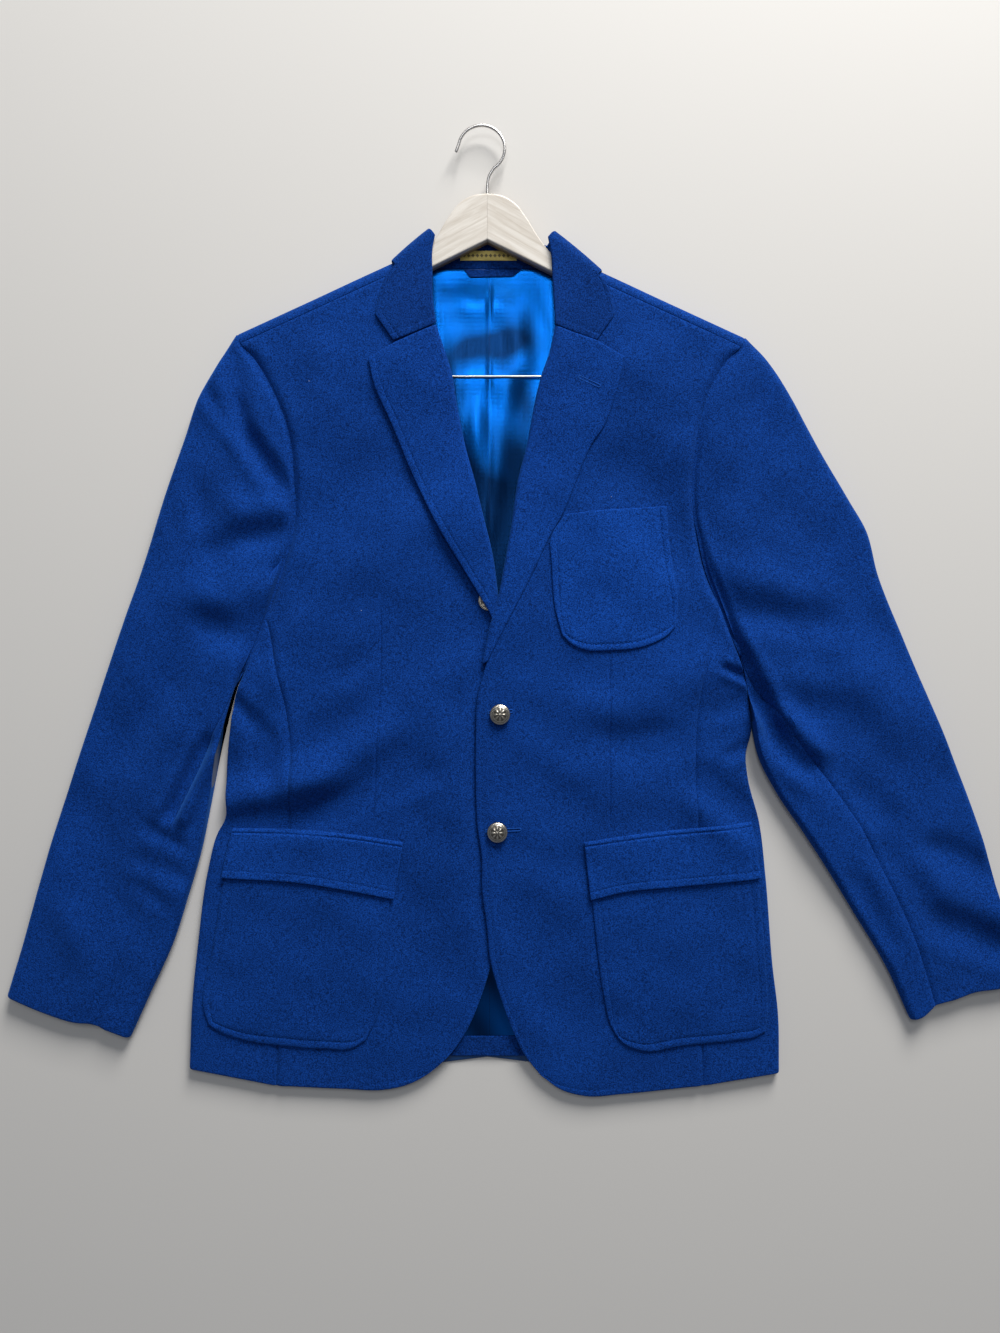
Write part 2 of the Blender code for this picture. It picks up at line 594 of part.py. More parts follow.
def build_sleeve(side):
    """Top sleeve round the outer fold and under sleeve round the inner one, meeting at forearm and elbow seams."""
    rows = 14
    outer_line = curve(SLEEVE_OUTER[side], rows)
    inner_line = curve(SLEEVE_INNER[side], rows)
    outer_line[0] = arm_points(side, [0.0])[0] + [SIGN[side] * ARMHOLE_GAP, 0]
    inner_line[0] = arm_points(side, [1.0])[0] + [SIGN[side] * ARMHOLE_GAP, 0]
    width = np.linalg.norm(inner_line - outer_line, axis=1)
    down = np.linspace(0, 1, rows + 1)
    forearm = table(FOREARM_SEAM, down)
    gap = SEAM / width

    for name, line, top_share, under_share, steps in (
        ("top_sleeve", outer_line, forearm - gap, np.full(rows + 1, ELBOW_SEAM) - gap, [2, 4, 7]),
        ("under_sleeve", inner_line, 1 - forearm - gap, np.full(rows + 1, 1 - ELBOW_SEAM) - gap, [4, 4, 1]),
    ):
        radius = sleeve_top(line[:, 0], line[:, 1], down) / 2
        arc = radius * math.pi / 2
        top_reach = np.maximum(arc + top_share * width - radius, arc + 1.5)
        under_reach = arc + under_share * width - radius
        girth = columns([-under_reach, -arc, arc, top_reach], steps)

        def face(depth):
            run, share, drop = fold(girth, radius[:, None], depth)
            across = run / width[:, None]
            across = 1 - across if name == "under_sleeve" else across
            level = np.repeat(down[:, None], across.shape[1], axis=1)
            plan = sleeve_plan(side, across, level, outer_line, inner_line)
            return with_height(plan, sleeve_top(plan[..., 0], plan[..., 1], level) * share - drop)

        wall(f"{name}_{side}", face(0.0), face(SLEEVE_WALL))


# ---------------------------------------------------------------- pockets, lining, small pieces

def outline_plan(edges, across, up):
    sides = {key: curve(edges[key], up) for key in ("left", "right")}
    ends = {key: curve(edges[key], across) for key in ("bottom", "top")}
    return coons(ends["bottom"], ends["top"], sides["left"], sides["right"])


def build_pockets():
    for name, edges in POCKET.items():
        side = "right" if name.endswith("right") else "left"
        plan = outline_plan(edges, 8, 6)
        ply(name, plan, front_top(side, plan[..., 0], plan[..., 1]) + PLY_GAP, POCKET_WALL)
    for name, edges in FLAP.items():
        side = "right" if name.endswith("right") else "left"
        plan = outline_plan(edges, 8, 5)
        below_seam = plan[-1:, :, 1] - plan[..., 1]
        climb = (POCKET_WALL + PLY_GAP) * smoothstep(below_seam / FLAP_RAMP)
        ply(name, plan, front_top(side, plan[..., 0], plan[..., 1]) + PLY_GAP + climb, FLAP_WALL)


def build_inside():
    """Lining, turned-up hem, hanging loop and label: flat plies on the back."""
    for side in ("left", "right"):
        near = NECK_X + 2.0 + SIGN[side] * SEAM / 2
        rows = np.array([LINING_HEM, -280.0, -150.0, -20.0, 95.0, 125.0, 155.0, 185.0, 245.0, 290.0, 310.0, LINING_TOP])
        half = np.where(rows > 300, LINING_HALF_TOP, LINING_HALF)
        across = np.linspace(0, 1, 4)[None]
        x = near + (NECK_X + SIGN[side] * half - near)[:, None] * across
        plan = np.dstack([x, np.repeat(rows[:, None], 4, axis=1)])
        ply(f"lining_{side}", plan, lining_rise(plan[..., 1]) + BACK_WALL + SHEET_GAP, LINING_WALL, "satin")
    strip = coons(*(np.linspace(a, b, n) for a, b, n in (
        ((-120, HEM_BOTTOM), (72, HEM_BOTTOM), 9), ((-120, LINING_HEM - SEAM), (72, LINING_HEM - SEAM), 9),
        ((-120, HEM_BOTTOM), (-120, LINING_HEM - SEAM), 2), ((72, HEM_BOTTOM), (72, LINING_HEM - SEAM), 2))))
    ply("hem_turnup", strip, np.full(strip.shape[:2], BACK_WALL + SHEET_GAP), LINING_WALL)
    loop = coons(np.linspace((-41, 320), (0, 320.5), 7), np.linspace((-47, 327.6), (9, 327.6), 7),
                 np.linspace((-41, 320), (-47, 327.6), 3), np.linspace((0, 320.5), (9, 327.6), 3))
    on_lining = COLLAR_STEP + BACK_WALL + SHEET_GAP + LINING_WALL + SHEET_GAP
    ply("hanging_loop", loop, np.full(loop.shape[:2], on_lining), LINING_WALL)
    label = coons(np.linspace((-50, 336.5), (4, 336.5), 5), np.linspace((-50, 346), (4, 346), 5),
                  np.linspace((-50, 336.5), (-50, 346), 2), np.linspace((4, 336.5), (4, 346), 2))
    ply("label", label, np.full(label.shape[:2], 2 * COLLAR_ROLL_RADIUS + SHEET_GAP), LABEL_WALL, "label_weave")


def build_buttons():
    """Turned shank buttons: a half outline spun about its axis, each set at its place on the cloth."""
    for name, x, y, stand, diameter, dome in BUTTONS:
        side = "right" if name == "button_roll" else "left"
        half = diameter / 2
        shank = [(0.0, 0.0), (SHANK_RADIUS, 0.0), (SHANK_RADIUS, stand)] if stand > 1.0 else [(0.0, stand)]
        face = [(half - 0.6, stand), (half, stand + 0.6), (half - 0.3, stand + 1.1), (half * 0.8, stand + dome * 0.62),
                (half * 0.45, stand + dome * 0.9), (half * 0.15, stand + dome), (0.0, stand + dome)]
        shape = bmesh.new()
        outline = [shape.verts.new((r * MM, 0.0, z * MM)) for r, z in shank + face]
        edges = [shape.edges.new(pair) for pair in zip(outline, outline[1:])]
        bmesh.ops.spin(shape, geom=outline + edges, cent=(0, 0, 0), axis=(0, 0, 1), angle=2 * math.pi, steps=20)
        bmesh.ops.remove_doubles(shape, verts=shape.verts, dist=0.00002)
        button = add_object(name, shape, "button_metal")
        button.location = (x * MM, y * MM, (float(front_top(side, x, y)) + SHEET_GAP) * MM)


# ---------------------------------------------------------------- hanger

def build_hanger():
    """Two flat arms butted at the middle, a bent wire hook and a thin trouser bar."""
    crest = [(0.2, 395), (26, 387), (40, 368), (52, 348), (66, 334), (84, 326), (144, 298), (190, 277), (203, 268)]
    sole = [(200, 257), (186, 260), (144, 280.4), (84, 309.8), (66, 318.7), (54, 324.5), (40, 331.4), (26, 338.3),
            (0.2, 351)]
    for side in ("left", "right"):
        outline = [((NECK_X + SIGN[side] * x) * MM, y * MM, ARM_UNDER * MM) for x, y in crest + sole]
        shape = bmesh.new()
        flat = shape.faces.new([shape.verts.new(point) for point in outline])
        raised = bmesh.ops.extrude_face_region(shape, geom=[flat], use_keep_orig=True)["geom"]
        bmesh.ops.translate(shape, vec=(0, 0, ARM_DEPTH * MM),
                            verts=[item for item in raised if isinstance(item, bmesh.types.BMVert)])
        butt = (NECK_X + SIGN[side]) * MM
        rims = [edge for edge in shape.edges
                if abs(edge.verts[0].co.z - edge.verts[1].co.z) < MM
                and any(SIGN[side] * (vert.co.x - butt) > 0 for vert in edge.verts)]
        bmesh.ops.bevel(shape, geom=rims, offset=ARM_EASE * MM, segments=1, affect="EDGES")
        add_object(f"hanger_arm_{side}", shape, "hanger_wood")

    centre, bend_radius = np.array([-29.5, 440.0]), 22.0
    angles = np.radians(np.linspace(-58, 168, 14))
    bow = centre + bend_radius * np.column_stack([np.cos(angles), np.sin(angles)])
    tip = bow[-1] + np.array([-2.5, -7.0])
    stem = curve([(NECK_X, 395.6), (NECK_X, 404), (-22.5, 413), tuple(bow[0])], 6)
    build_wire("hanger_hook", np.vstack([stem[:-1], bow, [tip]]), ARM_UNDER + ARM_DEPTH / 2, HOOK_WIRE)

    span = 186.0
    bar = [(NECK_X - span - BAR_WIRE, BAR_Y), (NECK_X + span + BAR_WIRE, BAR_Y)]
    build_wire("trouser_bar", bar, BAR_Z, BAR_WIRE)
    for side in ("left", "right"):
        x = NECK_X + SIGN[side] * span
        build_wire(f"trouser_bar_end_{side}", [(x, BAR_Y + BAR_WIRE + 0.1), (x, 254.6)], BAR_Z, BAR_WIRE)


def build_wire(name, path, z, radius):
    """Round wire: a curve through the path's points, with a bevel and filled ends."""
    wire = bpy.data.curves.new(name, "CURVE")
    wire.dimensions = "3D"
    wire.bevel_depth = radius * MM
    wire.bevel_resolution = 2
    wire.use_fill_caps = True
    run = wire.splines.new("POLY")
    run.points.add(len(path) - 1)
    for point, (x, y) in zip(run.points, path):
        point.co = (x * MM, y * MM, z * MM, 1.0)
    wire.materials.append(material("hook_steel"))
    item = bpy.data.objects.new(name, wire)
    bpy.context.scene.collection.objects.link(item)


def main():
    for item in list(bpy.data.objects):
        bpy.data.objects.remove(item, do_unlink=True)
    for side in ("left", "right"):
        build_back(side)
        build_side(side)
        build_front(side)
        build_lapel(side)
        build_sleeve(side)
    build_collar()
    build_collar_stand()
    build_pockets()
    build_inside()
    build_buttons()
    build_hanger()


main()
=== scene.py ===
"""Single breasted blazer laid flat on its back, with a wooden hanger inside it.

The CAD model is loaded as the frame, and each piece of cloth, metal and wood is built over its
node. Lengths in the tables are millimetres in the frame's own axes: +X towards the wearer's left,
+Y from the hem to the collar, +Z up from the floor. "left" and "right" are the wearer's.
"""
import math

import bpy
import numpy as np
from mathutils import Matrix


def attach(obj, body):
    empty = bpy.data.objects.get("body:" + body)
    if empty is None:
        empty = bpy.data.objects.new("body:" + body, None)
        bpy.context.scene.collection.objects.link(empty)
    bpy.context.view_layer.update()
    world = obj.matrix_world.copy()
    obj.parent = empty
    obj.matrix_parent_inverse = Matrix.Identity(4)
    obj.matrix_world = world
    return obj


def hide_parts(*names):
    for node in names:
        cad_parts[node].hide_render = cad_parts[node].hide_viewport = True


bl_info = {
    "name": "Laid-out Blazer",
    "version": (1, 0, 0),
    "blender": (4, 5, 0),
    "location": "View3D > Sidebar > Blazer",
    "description": "A navy single breasted blazer lying on a pale floor with a wooden hanger inside it",
    "category": "Add Mesh",
}

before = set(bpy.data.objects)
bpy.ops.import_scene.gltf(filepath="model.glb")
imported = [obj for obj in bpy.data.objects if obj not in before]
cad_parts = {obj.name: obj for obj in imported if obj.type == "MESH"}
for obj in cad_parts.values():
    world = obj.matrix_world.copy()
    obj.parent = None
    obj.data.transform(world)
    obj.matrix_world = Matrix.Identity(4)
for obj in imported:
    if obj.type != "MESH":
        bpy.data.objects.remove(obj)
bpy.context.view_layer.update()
SIDES = ("left", "right")
SIGN = {"left": 1, "right": -1}
MM = 0.001
SHARP_ANGLE = 50.0    # degrees, over which an edge is not shaded smooth
STITCH_LIFT = 0.2     # of the stitching above the cloth
# Strength of the painted shade on the lining's satin
PAINTED_SHADE_STRENGTH = 1.3
SLEEVE_CREASE_SHARE = 0.966    # of the crease depth factor, for the sleeves
SLEEVE_BLEND = 0.22    # share of the sleeve over which its loft leaves the body's
SLEEVE_RUN = 560
BAR_SPAN, BAR_END_TOP = 186.0, 254.6

# Thicknesses and gaps
BACK_WALL, SIDE_WALL, FRONT_WALL, SLEEVE_WALL = 1.6, 1.8, 2.0, 1.8
LAPEL_WALL, COLLAR_WALL, POCKET_WALL, FLAP_WALL = 1.6, 1.4, 1.6, 1.8
LINING_WALL, LABEL_WALL = 1.0, 0.8
SEAM_GAP = 0.06      # half the gap at a sewn seam
PLY_GAP = 0.5
SHEET_GAP = 0.3

# Heights of the garment
BODY_LOFT, TENT_LOFT, TENT_NEAR, TENT_FAR = 8.6, 20.5, 45.0, 230.0
OVERLAP_DIP = 2.6
COLLAR_STEP = 2.0
SLEEVE_LOFT = [(0.0, 19.0), (0.25, 17.0), (0.6, 14.5), (1.0, 12.5)]    # (place down the sleeve, loft)
NECK_X, SHOULDER_PEAK, SHOULDER_SLOPE, SHOULDER_SEAM = -24.0, 372.0, 0.46, 11.0
CREASE_RADIUS, COLLAR_PUFF, COLLAR_ROLL_RADIUS = 11.6, 1.6, 2.0
COLLAR_HUG = 3.2     # how far the collar's edge is drawn in where it passes over the shoulder
ROLL_RADIUS, ROLL_INSET, LIFT_REACH, FLAP_RAMP = 3.5, 3.8, 35.0, 6.0

# Outlines, as (x, y) points on smooth curves. Folds give the outermost line, seams the line of stitching.
SIDE_SEAM = {    # hem to armhole
    "left": [(182, -452), (180, -322), (178, -207), (176, -170), (178, -95), (186, -42), (198, 5)],
    "right": [(-226, -452), (-220, -322), (-214, -207), (-212, -170), (-217, -93), (-227, -48), (-235, -6)],
}
SIDE_FOLD = {    # hem to armhole
    "left": [(255, -440), (254, -383), (249, -340), (242, -252), (236, -201), (225, -158), (223, -138),
             (228.6, -111), (226.6, -92), (223.2, -68), (217, -45)],
    "right": [(-309, -436), (-306, -367), (-301, -317), (-291, -245), (-282, -211), (-275, -198),
              (-274, -170),
              (-272, -129), (-265, -79)],
}
ARMHOLE = {      # shoulder point to underarm
    "left": [(220, 260), (215.4, 250), (203, 238), (188, 213), (177.5, 181), (172.6, 151), (170.7, 117),
             (172.6, 92), (176.5, 74), (184, 41), (198, 5), (209, -23), (217, -43)],
    "right": [(-261, 263), (-256.4, 253), (-245, 240), (-232, 219), (-219, 192), (-211, 164), (-207, 129),
              (-207, 94), (-211, 68), (-220, 38), (-235, -6), (-252, -47), (-269, -80)],
}
ARMHOLE_SEAM_SHARE = {"left": 0.840, "right": 0.779}    # where the side seam meets it, 0 at the shoulder
ARMHOLE_FOOT = {"left": 5.0, "right": -6.0}             # height on the page of that meeting
DART = {         # (y, x) down each waist dart
    "left": [(-230, 92.7), (330, 92.7)],
    "right": [(-230, -134), (-170, -132), (-60, -126), (330, -125)],
}
FRONT_EDGE = {   # turn of the cutaway to the break of the lapel
    "left": [(27, -442), (11, -422), (0, -399), (-12, -366), (-21, -333), (-25, -296), (-29, -267),
             (-30, -228),
             (-33, -209), (-35, -170), (-35, -114), (-33, -69), (-29, -50)],
    "right": [(-72, -434), (-60, -423), (-44, -400), (-31, -370), (-20, -336), (-9, -295), (2, -245),
              (9, -190),
              (11, -130), (8, -85), (0, -50)],
}
ROLL = {         # break of the lapel to the gorge
    "left": [(-29, -50), (-26, -35), (-21, -11), (-13.5, 15), (-9, 39), (-1.6, 80), (5, 125), (14, 161),
             (19, 189), (26.6, 222), (35, 246), (39.6, 269)],
    "right": [(0, -50), (-8, -15), (-14, 20), (-17.7, 48), (-29, 96), (-36, 125), (-44, 154), (-52, 192),
              (-58, 227), (-66, 252), (-72, 270)],
}
LAPEL_EDGE = {   # lower tip to the notch corner
    "left": [(-24, -47), (-17, -33), (-2, -4), (18, 35), (35, 71), (48, 94), (59, 121), (77, 162), (85, 173),
             (96, 202), (105, 239)],
    "right": [(-17, -15), (-22, -1), (-29, 11), (-44, 36), (-70, 79), (-95, 130), (-115, 178), (-132, 218),
              (-136, 239)],
}
LAPEL_TOP = {    # gorge at the roll, end of the gorge at the notch, lapel corner
    "left": [(39.6, 268), (79, 254), (105, 239)],
    "right": [(-72, 270), (-110, 253.5), (-136, 239)],
}
HEM = {          # turn of the cutaway to the side seam
    "left": [(27, -442), (47, -456), (70, -462), (105, -460), (163, -454), (182, -452)],
    "right": [(-72, -434), (-84, -443), (-103, -452), (-123, -456), (-162, -455), (-226, -452)],
}
SHOULDER_NECK = {"left": 60, "right": -100}
SLEEVE_OUTER = {    # shoulder point to cuff
    "left": [(221, 260), (243, 237), (268, 196), (294, 150), (320, 106), (336, 78), (348, 34), (372, -25),
             (412, -120), (450, -222), (465, -276), (482, -353)],
    "right": [(-262, 263), (-279, 236), (-298, 204), (-312, 164), (-332, 107), (-346, 61), (-376, -27),
              (-412, -134), (-440, -221), (-467, -316), (-482, -366)],
}
SLEEVE_INNER = {    # underarm to cuff
    "left": [(220, -43), (225.4, -72), (229.4, -111), (234, -136), (251, -171), (278, -211), (302, -248),
             (327, -289),
             (356, -337), (380, -389)],
    "right": [(-272, -81), (-278, -105), (-281, -129), (-285, -159), (-290, -190), (-298, -231),
              (-310, -272),
              (-323, -313), (-346, -364), (-365, -406)],
}
CUFF = {            # outer edge to inner edge
    "left": [(482, -353), (465, -358), (439, -362), (420, -369), (403, -374), (389, -386), (380, -389)],
    "right": [(-482, -366), (-447, -381), (-414, -391), (-400, -392), (-386, -398), (-365, -406)],
}
FOREARM_SEAM = [(0.0, 0.93), (0.3, 0.74), (0.6, 0.68),
                (1.0, 0.75)]    # (down the sleeve, share of the width)
ELBOW_SEAM = 0.22

COLLAR_ROLL = {
    "left": [(39.6, 269.5), (38.5, 290), (37.4, 310), (36, 335), (33, 352)],
    "right": [(-72, 271), (-75, 292), (-75.5, 319), (-75.5, 341), (-73, 354)],
}
COLLAR_END = {"left": [(79, 255), (96, 279)], "right": [(-112.5, 255), (-129.5, 279)]}
COLLAR_EDGE = {
    "left": [(96, 279), (92, 298), (87, 309), (80.2, 316.5)],
    "right": [(-129.5, 279), (-124, 303), (-119, 316), (-110.7, 325.5)],
}
COLLAR_CREASE = {"left": (0.586, 0.811), "right": (-0.544, 0.838)}
COLLAR_BACK_ROLL = [(33, 352), (5, 356), (-24, 357), (-50, 357), (-73, 354)]
COLLAR_BACK_EDGE = [(80.2, 316.5), (40, 309), (-20, 306), (-70, 309), (-110.7, 325.5)]

POCKET = {
    "chest_pocket": {
        "left": [(47, -22), (41, 0), (37, 47), (36, 70), (50, 93)],
        "bottom": [(47, -22), (56, -31), (70, -36.5), (92, -37), (128, -32), (149, -21), (155, -14)],
        "right": [(155, -14), (157.5, 4), (153, 40), (149, 73), (147, 101)],
        "top": [(50, 93), (98, 98), (147, 101)],
    },
    "hip_pocket_left": {
        "left": [(100, -405), (94, -395), (87, -367), (81, -325), (76, -276), (73, -230)],
        "bottom": [(100, -405), (106, -411), (124, -418), (163, -413), (212, -408), (232, -405),
                   (241, -400)],
        "right": [(241, -400), (243, -380), (240, -325), (236, -276), (229, -222)],
        "top": [(73, -230), (124, -225), (182, -220), (229, -222)],
    },
    "hip_pocket_right": {
        "left": [(-289, -393), (-294, -379), (-287, -327), (-283, -304), (-275, -257), (-264, -222)],
        "bottom": [(-289, -393), (-283, -397), (-259, -407), (-219, -413), (-181, -416), (-152, -415),
                   (-140, -408)],
        "right": [(-140, -408), (-130, -388), (-121, -325), (-117, -276), (-112, -232)],
        "top": [(-264, -222), (-190, -222), (-112, -232)],
    },
}
FLAP = {
    "flap_left": {
        "left": [(74, -274), (68, -219)],
        "bottom": [(74, -274), (105, -267), (163, -261), (221, -255), (236, -253)],
        "right": [(236, -253), (228, -200)],
        "top": [(68, -219), (124, -211), (182, -205), (228, -200)],
    },
    "flap_right": {
        "left": [(-277, -253), (-267, -206)],
        "bottom": [(-277, -253), (-200, -258), (-113, -274)],
        "right": [(-113, -274), (-104, -219)],
        "top": [(-267, -206), (-190, -208), (-104, -219)],
    },
}
FRONT_LIFT = {    # (y, height of the rolled edge)
    "left": [(-420, 0.4), (-360, 1.5), (-110, 1.4), (-55, 2.5), (-10, 5), (40, 4), (120, 2), (270, 0.5)],
    "right": [(-110, 0), (60, 0), (120, 0.5), (270, 0.5)],
}
LAPEL_LIFT = {
    "left": [(-55, 0), (120, 0.5), (270, 0.5)],
    "right": [(-15, 4.3), (20, 4.8), (60, 4.4), (120, 3), (200, 1.6), (270, 0.5)],
}
LINING_HALF, LINING_HALF_TOP, LINING_TOP, LINING_HEM = 96.0, 70.0, 328.0, -406.0
HEM_BOTTOM, BACK_HEM, NECK_EDGE = -425.5, -427.0, 329.0
ARM_UNDER, ARM_DEPTH, HOOK_WIRE, BAR_WIRE, BAR_Z, BAR_Y = 6.0, 12.0, 1.5, 1.0, 8.6, 224.5

# Button: (node, x, y, stand, diameter, dome)
BUTTONS = [
    ("button_upper", -12.0, -97.6, 1.6, 19.6, 4.4),
    ("button_lower", -14.5, -209.6, 1.6, 19.6, 4.4),
    ("button_roll", -23.0, 11.0, 0.3, 19.6, 2.6),
]

# Creases: each row is a soft trough (negative) or ridge (positive) from one point to another,
# as (x, y, x, y, half width, height)
BODY_CREASES = [
    (-272, -78, -240, -113, 6, -3.0), (-243, -118, -234, -152, 10, -2.2), (-262, -178, -188, -160, 17, 3.8),
    (-186, -157, -130, -122, 19, 3.2), (-255, -198, -190, -190, 12, -1.2), (-116, -170, -80, -154, 9, -0.9),
    (-160, -58, -146, -46, 10, -0.8), (-226, -62, -206, -20, 17, 1.8), (-104, -40, -70, -20, 20, -1.6),
    (-236, -36, -222, -4, 8, -1.0), (-126, 56, -56, 96, 34, 2.2), (-150, 120, -110, 190, 20, -0.9),
    (-196, 150, -180, 230, 12, 0.9), (-60, -330, -130, -250, 26, -1.2), (100, -121, 174, -124, 14, -1.1),
    (107, -86, 178, -59, 24, 2.2), (183, -162, 232, -202, 13, -2.6), (60, -60, 92, -70, 15, -0.6),
    (196, -96, 222, -86, 7, -1.4), (40, -150, 110, -172, 20, 0.7), (120, 120, 170, 60, 26, -1.6),
    (60, 150, 130, 240, 24, 0.8), (210, -135, 222, -128, 5, -1.6), (20, -300, 60, -380, 28, -1.2),
    (204, -54, 222, -62, 4, -2.2), (-200, -120, -160, -104, 16, -0.8), (-20, -130, 30, -160, 16, -0.5),
    (0, -230, 50, -238, 14, -0.5), (-76, -100, -52, -190, 24, 1.6),
]
SLEEVE_CREASES = {
    "right": [
        (-262, 237, -259, 192, 8, -1.6), (-259, 192, -249, 163, 8, -2.2), (-249, 163, -232, 138, 8, -2.6),
        (-234, 138, -221, 121, 9, -1.8), (-283, 202, -273, 183, 6, -1.7), (-220, 79, -245, 72, 9, -2.4),
        (-245, 72, -281, 59, 11, -2.0), (-222, 96, -255, 99, 12, 1.4), (-297, 108, -295, 86, 8, -1.0),
        (-290, 12, -236, 22, 18, 2.8), (-218, 49, -228, 40, 4, -2.0), (-250, -30, -290, -10, 12, -1.6),
        (-293, -127, -324, -189, 6, -3.2), (-283, -138, -310, -195, 6, 2.6),
        (-343, -206, -318, -220, 6, -1.0),
        (-352, -236, -318, -250, 8, -0.9), (-352, -262, -334, -276, 7, -0.5),
        (-330, -80, -370, -130, 18, -1.4), (-360, -40, -330, 20, 26, 2.4),
        (-400, -200, -370, -290, 24, -2.0),
        (-420, -290, -400, -350, 14, 0.9), (-300, -60, -322, -110, 14, 1.6), (-268, 120, -258, 60, 14, 1.2),
    ],
    "left": [
        (221, -50, 232, -78, 7, -5.0), (232, -78, 249, -112, 8, -6.5), (241, -119, 274, -145, 9, -2.6),
        (262, -100, 290, -128, 9, 2.2), (404, -226, 466, -250, 12, -2.2), (410, -268, 470, -292, 12, 1.8),
        (414, -300, 474, -326, 12, -1.8), (176, 74, 198, 8, 4, -2.6), (198, 8, 219, -42, 5, -3.4),
        (200, 40, 260, 20, 16, 1.8), (214, 0, 290, -10, 14, -1.6), (250, -60, 300, -70, 14, 1.4),
        (236, 190, 214, 120, 14, -1.2), (262, 190, 250, 130, 14, 1.0), (300, 60, 330, 0, 18, -1.0),
        (330, -60, 380, -110, 26, 2.2), (300, -150, 350, -190, 14, -1.3), (360, -230, 392, -270, 12, -1.2),
        (340, -250, 366, -300, 8, 1.0), (246, 232, 236, 206, 9, -1.0),
    ],
}
# Soft swells of the lining: (x, y, reach along x, reach along y, height)
LINING_SWELLS = [
    (-30, 294, 44, 17, 2.6), (-34, 226, 40, 17, 1.6), (6, 268, 11, 30, 1.4), (-50, 262, 12, 18, 0.8),
    (-6, 214, 12, 26, 1.5), (-34, 176, 10, 30, 1.6), (-14, 140, 9, 34, 1.3), (-28, 92, 8, 30, 1.0),
    (-52, 205, 8, 26, 1.2), (14, 240, 10, 16, 1.0), (-22, 320, 40, 8, 0.5),
]
# Painted shade on the satin, darkening its painted reflection: (x, y, reach along x, reach along y, how much
# darker)
PAINTED_SATIN_SHADES = [
    (-10, 258, 30, 17, 1.1), (-46, 248, 18, 15, 0.8), (18, 285, 8, 30, 0.3), (-66, 222, 9, 30, 0.5),
    (-24, 120, 60, 52, 0.75), (-24, 40, 60, 60, 0.9), (14, 190, 12, 40, 0.55), (-58, 170, 12, 40, 0.6),
    (-24, -300, 200, 200, 0.62),
]


# ---------------------------------------------------------------- numbers and curves

def smoothstep(share):
    """3s^2 - 2s^3 of a share held between 0 and 1."""
    share = np.clip(share, 0.0, 1.0)
    return share * share * (3.0 - 2.0 * share)


def bell(distance, width, centre=0.0):
    """exp(-((distance - centre) / width)^2)."""
    return np.exp(-((distance - centre) / width) ** 2)


def mounds(x, y, rows):
    """Sum over the rows of h exp(-((x - a) / ra)^2 - ((y - b) / rb)^2)."""
    return sum(h * np.exp(-((x - a) / ra) ** 2 - ((y - b) / rb) ** 2) for a, b, ra, rb, h in rows)


def curve(points, steps, first=0):
    """Even steps by length along the cubic Hermite curve whose slopes are central differences of its
    points.
    """
    rows = np.array(points, float)
    if len(rows) == 2:
        return np.linspace(rows[0], rows[1], steps + 1)
    chord = np.concatenate([[0.0], np.cumsum(np.linalg.norm(np.diff(rows, axis=0), axis=1))])
    slope = np.gradient(rows, chord, axis=0)
    fine = 24
    index = np.repeat(np.arange(len(rows) - 1), fine)
    part = np.tile(np.arange(fine) / fine, len(rows) - 1)[:, None]
    reach = np.diff(chord)[index][:, None]
    path = (rows[index] * (1 + 2 * part) * (1 - part) ** 2
            + rows[index + 1] * part ** 2 * (3 - 2 * part)
            + slope[index] * reach * part * (1 - part) ** 2
            + slope[index + 1] * reach * part ** 2 * (part - 1))
    path = np.vstack([path, rows[-1:]])[first * fine:]
    length = np.concatenate([[0.0], np.cumsum(np.linalg.norm(np.diff(path, axis=0), axis=1))])
    even = np.linspace(0.0, length[-1], steps + 1)
    return np.column_stack([np.interp(even, length, path[:, axis]) for axis in range(2)])


def walk(*runs):
    """Runs of points joined end to end, each starting where the one before it ends."""
    return np.vstack([runs[0]] + [run[1:] for run in runs[1:]])


def along(line, share):
    """Points at shares, of any array shape, of the way along a line's own points."""
    place = np.linspace(0, 1, len(line))
    return np.stack([np.interp(share, place, line[:, axis]) for axis in range(line.shape[1])], axis=-1)


def table(rows, at):
    """A two-column table read at the given places, straight between its rows."""
    cells = np.array(rows, float)
    return np.interp(at, cells[:, 0], cells[:, 1])


def moved_in(points, side, distance):
    """An edge moved along X towards the middle of the body."""
    return points - np.array([SIGN[side] * distance, 0.0])


def graded(length, step, insets=()):
    """Shares of a length: close together at both ends and on each side of each inset, a step apart
    between.
    """
    marks = [0.0, 0.3, 0.8, 1.5,
             2.4] + [at + off for at in insets for off in (-1.4, -0.7, -0.3, 0, 0.3, 0.7, 1.4)]
    near = np.array(sorted(set(marks)))
    near = near * min(1.0, 0.4 * length / near[-1])
    count = max(int((length - 2 * near[-1]) / step), 2)
    middle = np.linspace(near[-1], length - near[-1], count + 1)
    return np.concatenate([near[:-1], middle, (length - near[:-1])[::-1]]) / length


def columns(marks, steps):
    """Columns of a grid: for each row, even steps from each mark to the next."""
    parts = [marks[0][:, None]]
    for start, stop, count in zip(marks, marks[1:], steps):
        parts.append(np.linspace(start, stop, count + 1, axis=1)[:, 1:])
    return np.hstack(parts)


def grid(across, up):
    """Two arrays over a grid from its column shares and its row shares."""
    shape = (len(up), len(across))
    return np.broadcast_to(across[None], shape), np.broadcast_to(up[:, None], shape)


def patch(bottom, top, left, right, across, up):
    """Coons patch: sides blended across plus ends blended up, less the corners blended both ways."""
    s, t = across[..., None], up[..., None]
    corners = (1 - t) * ((1 - s) * bottom[0] + s * bottom[-1]) + t * ((1 - s) * top[0] + s * top[-1])
    return ((1 - s) * along(left, up) + s * along(right, up)
            + (1 - t) * along(bottom, across) + t * along(top, across) - corners)


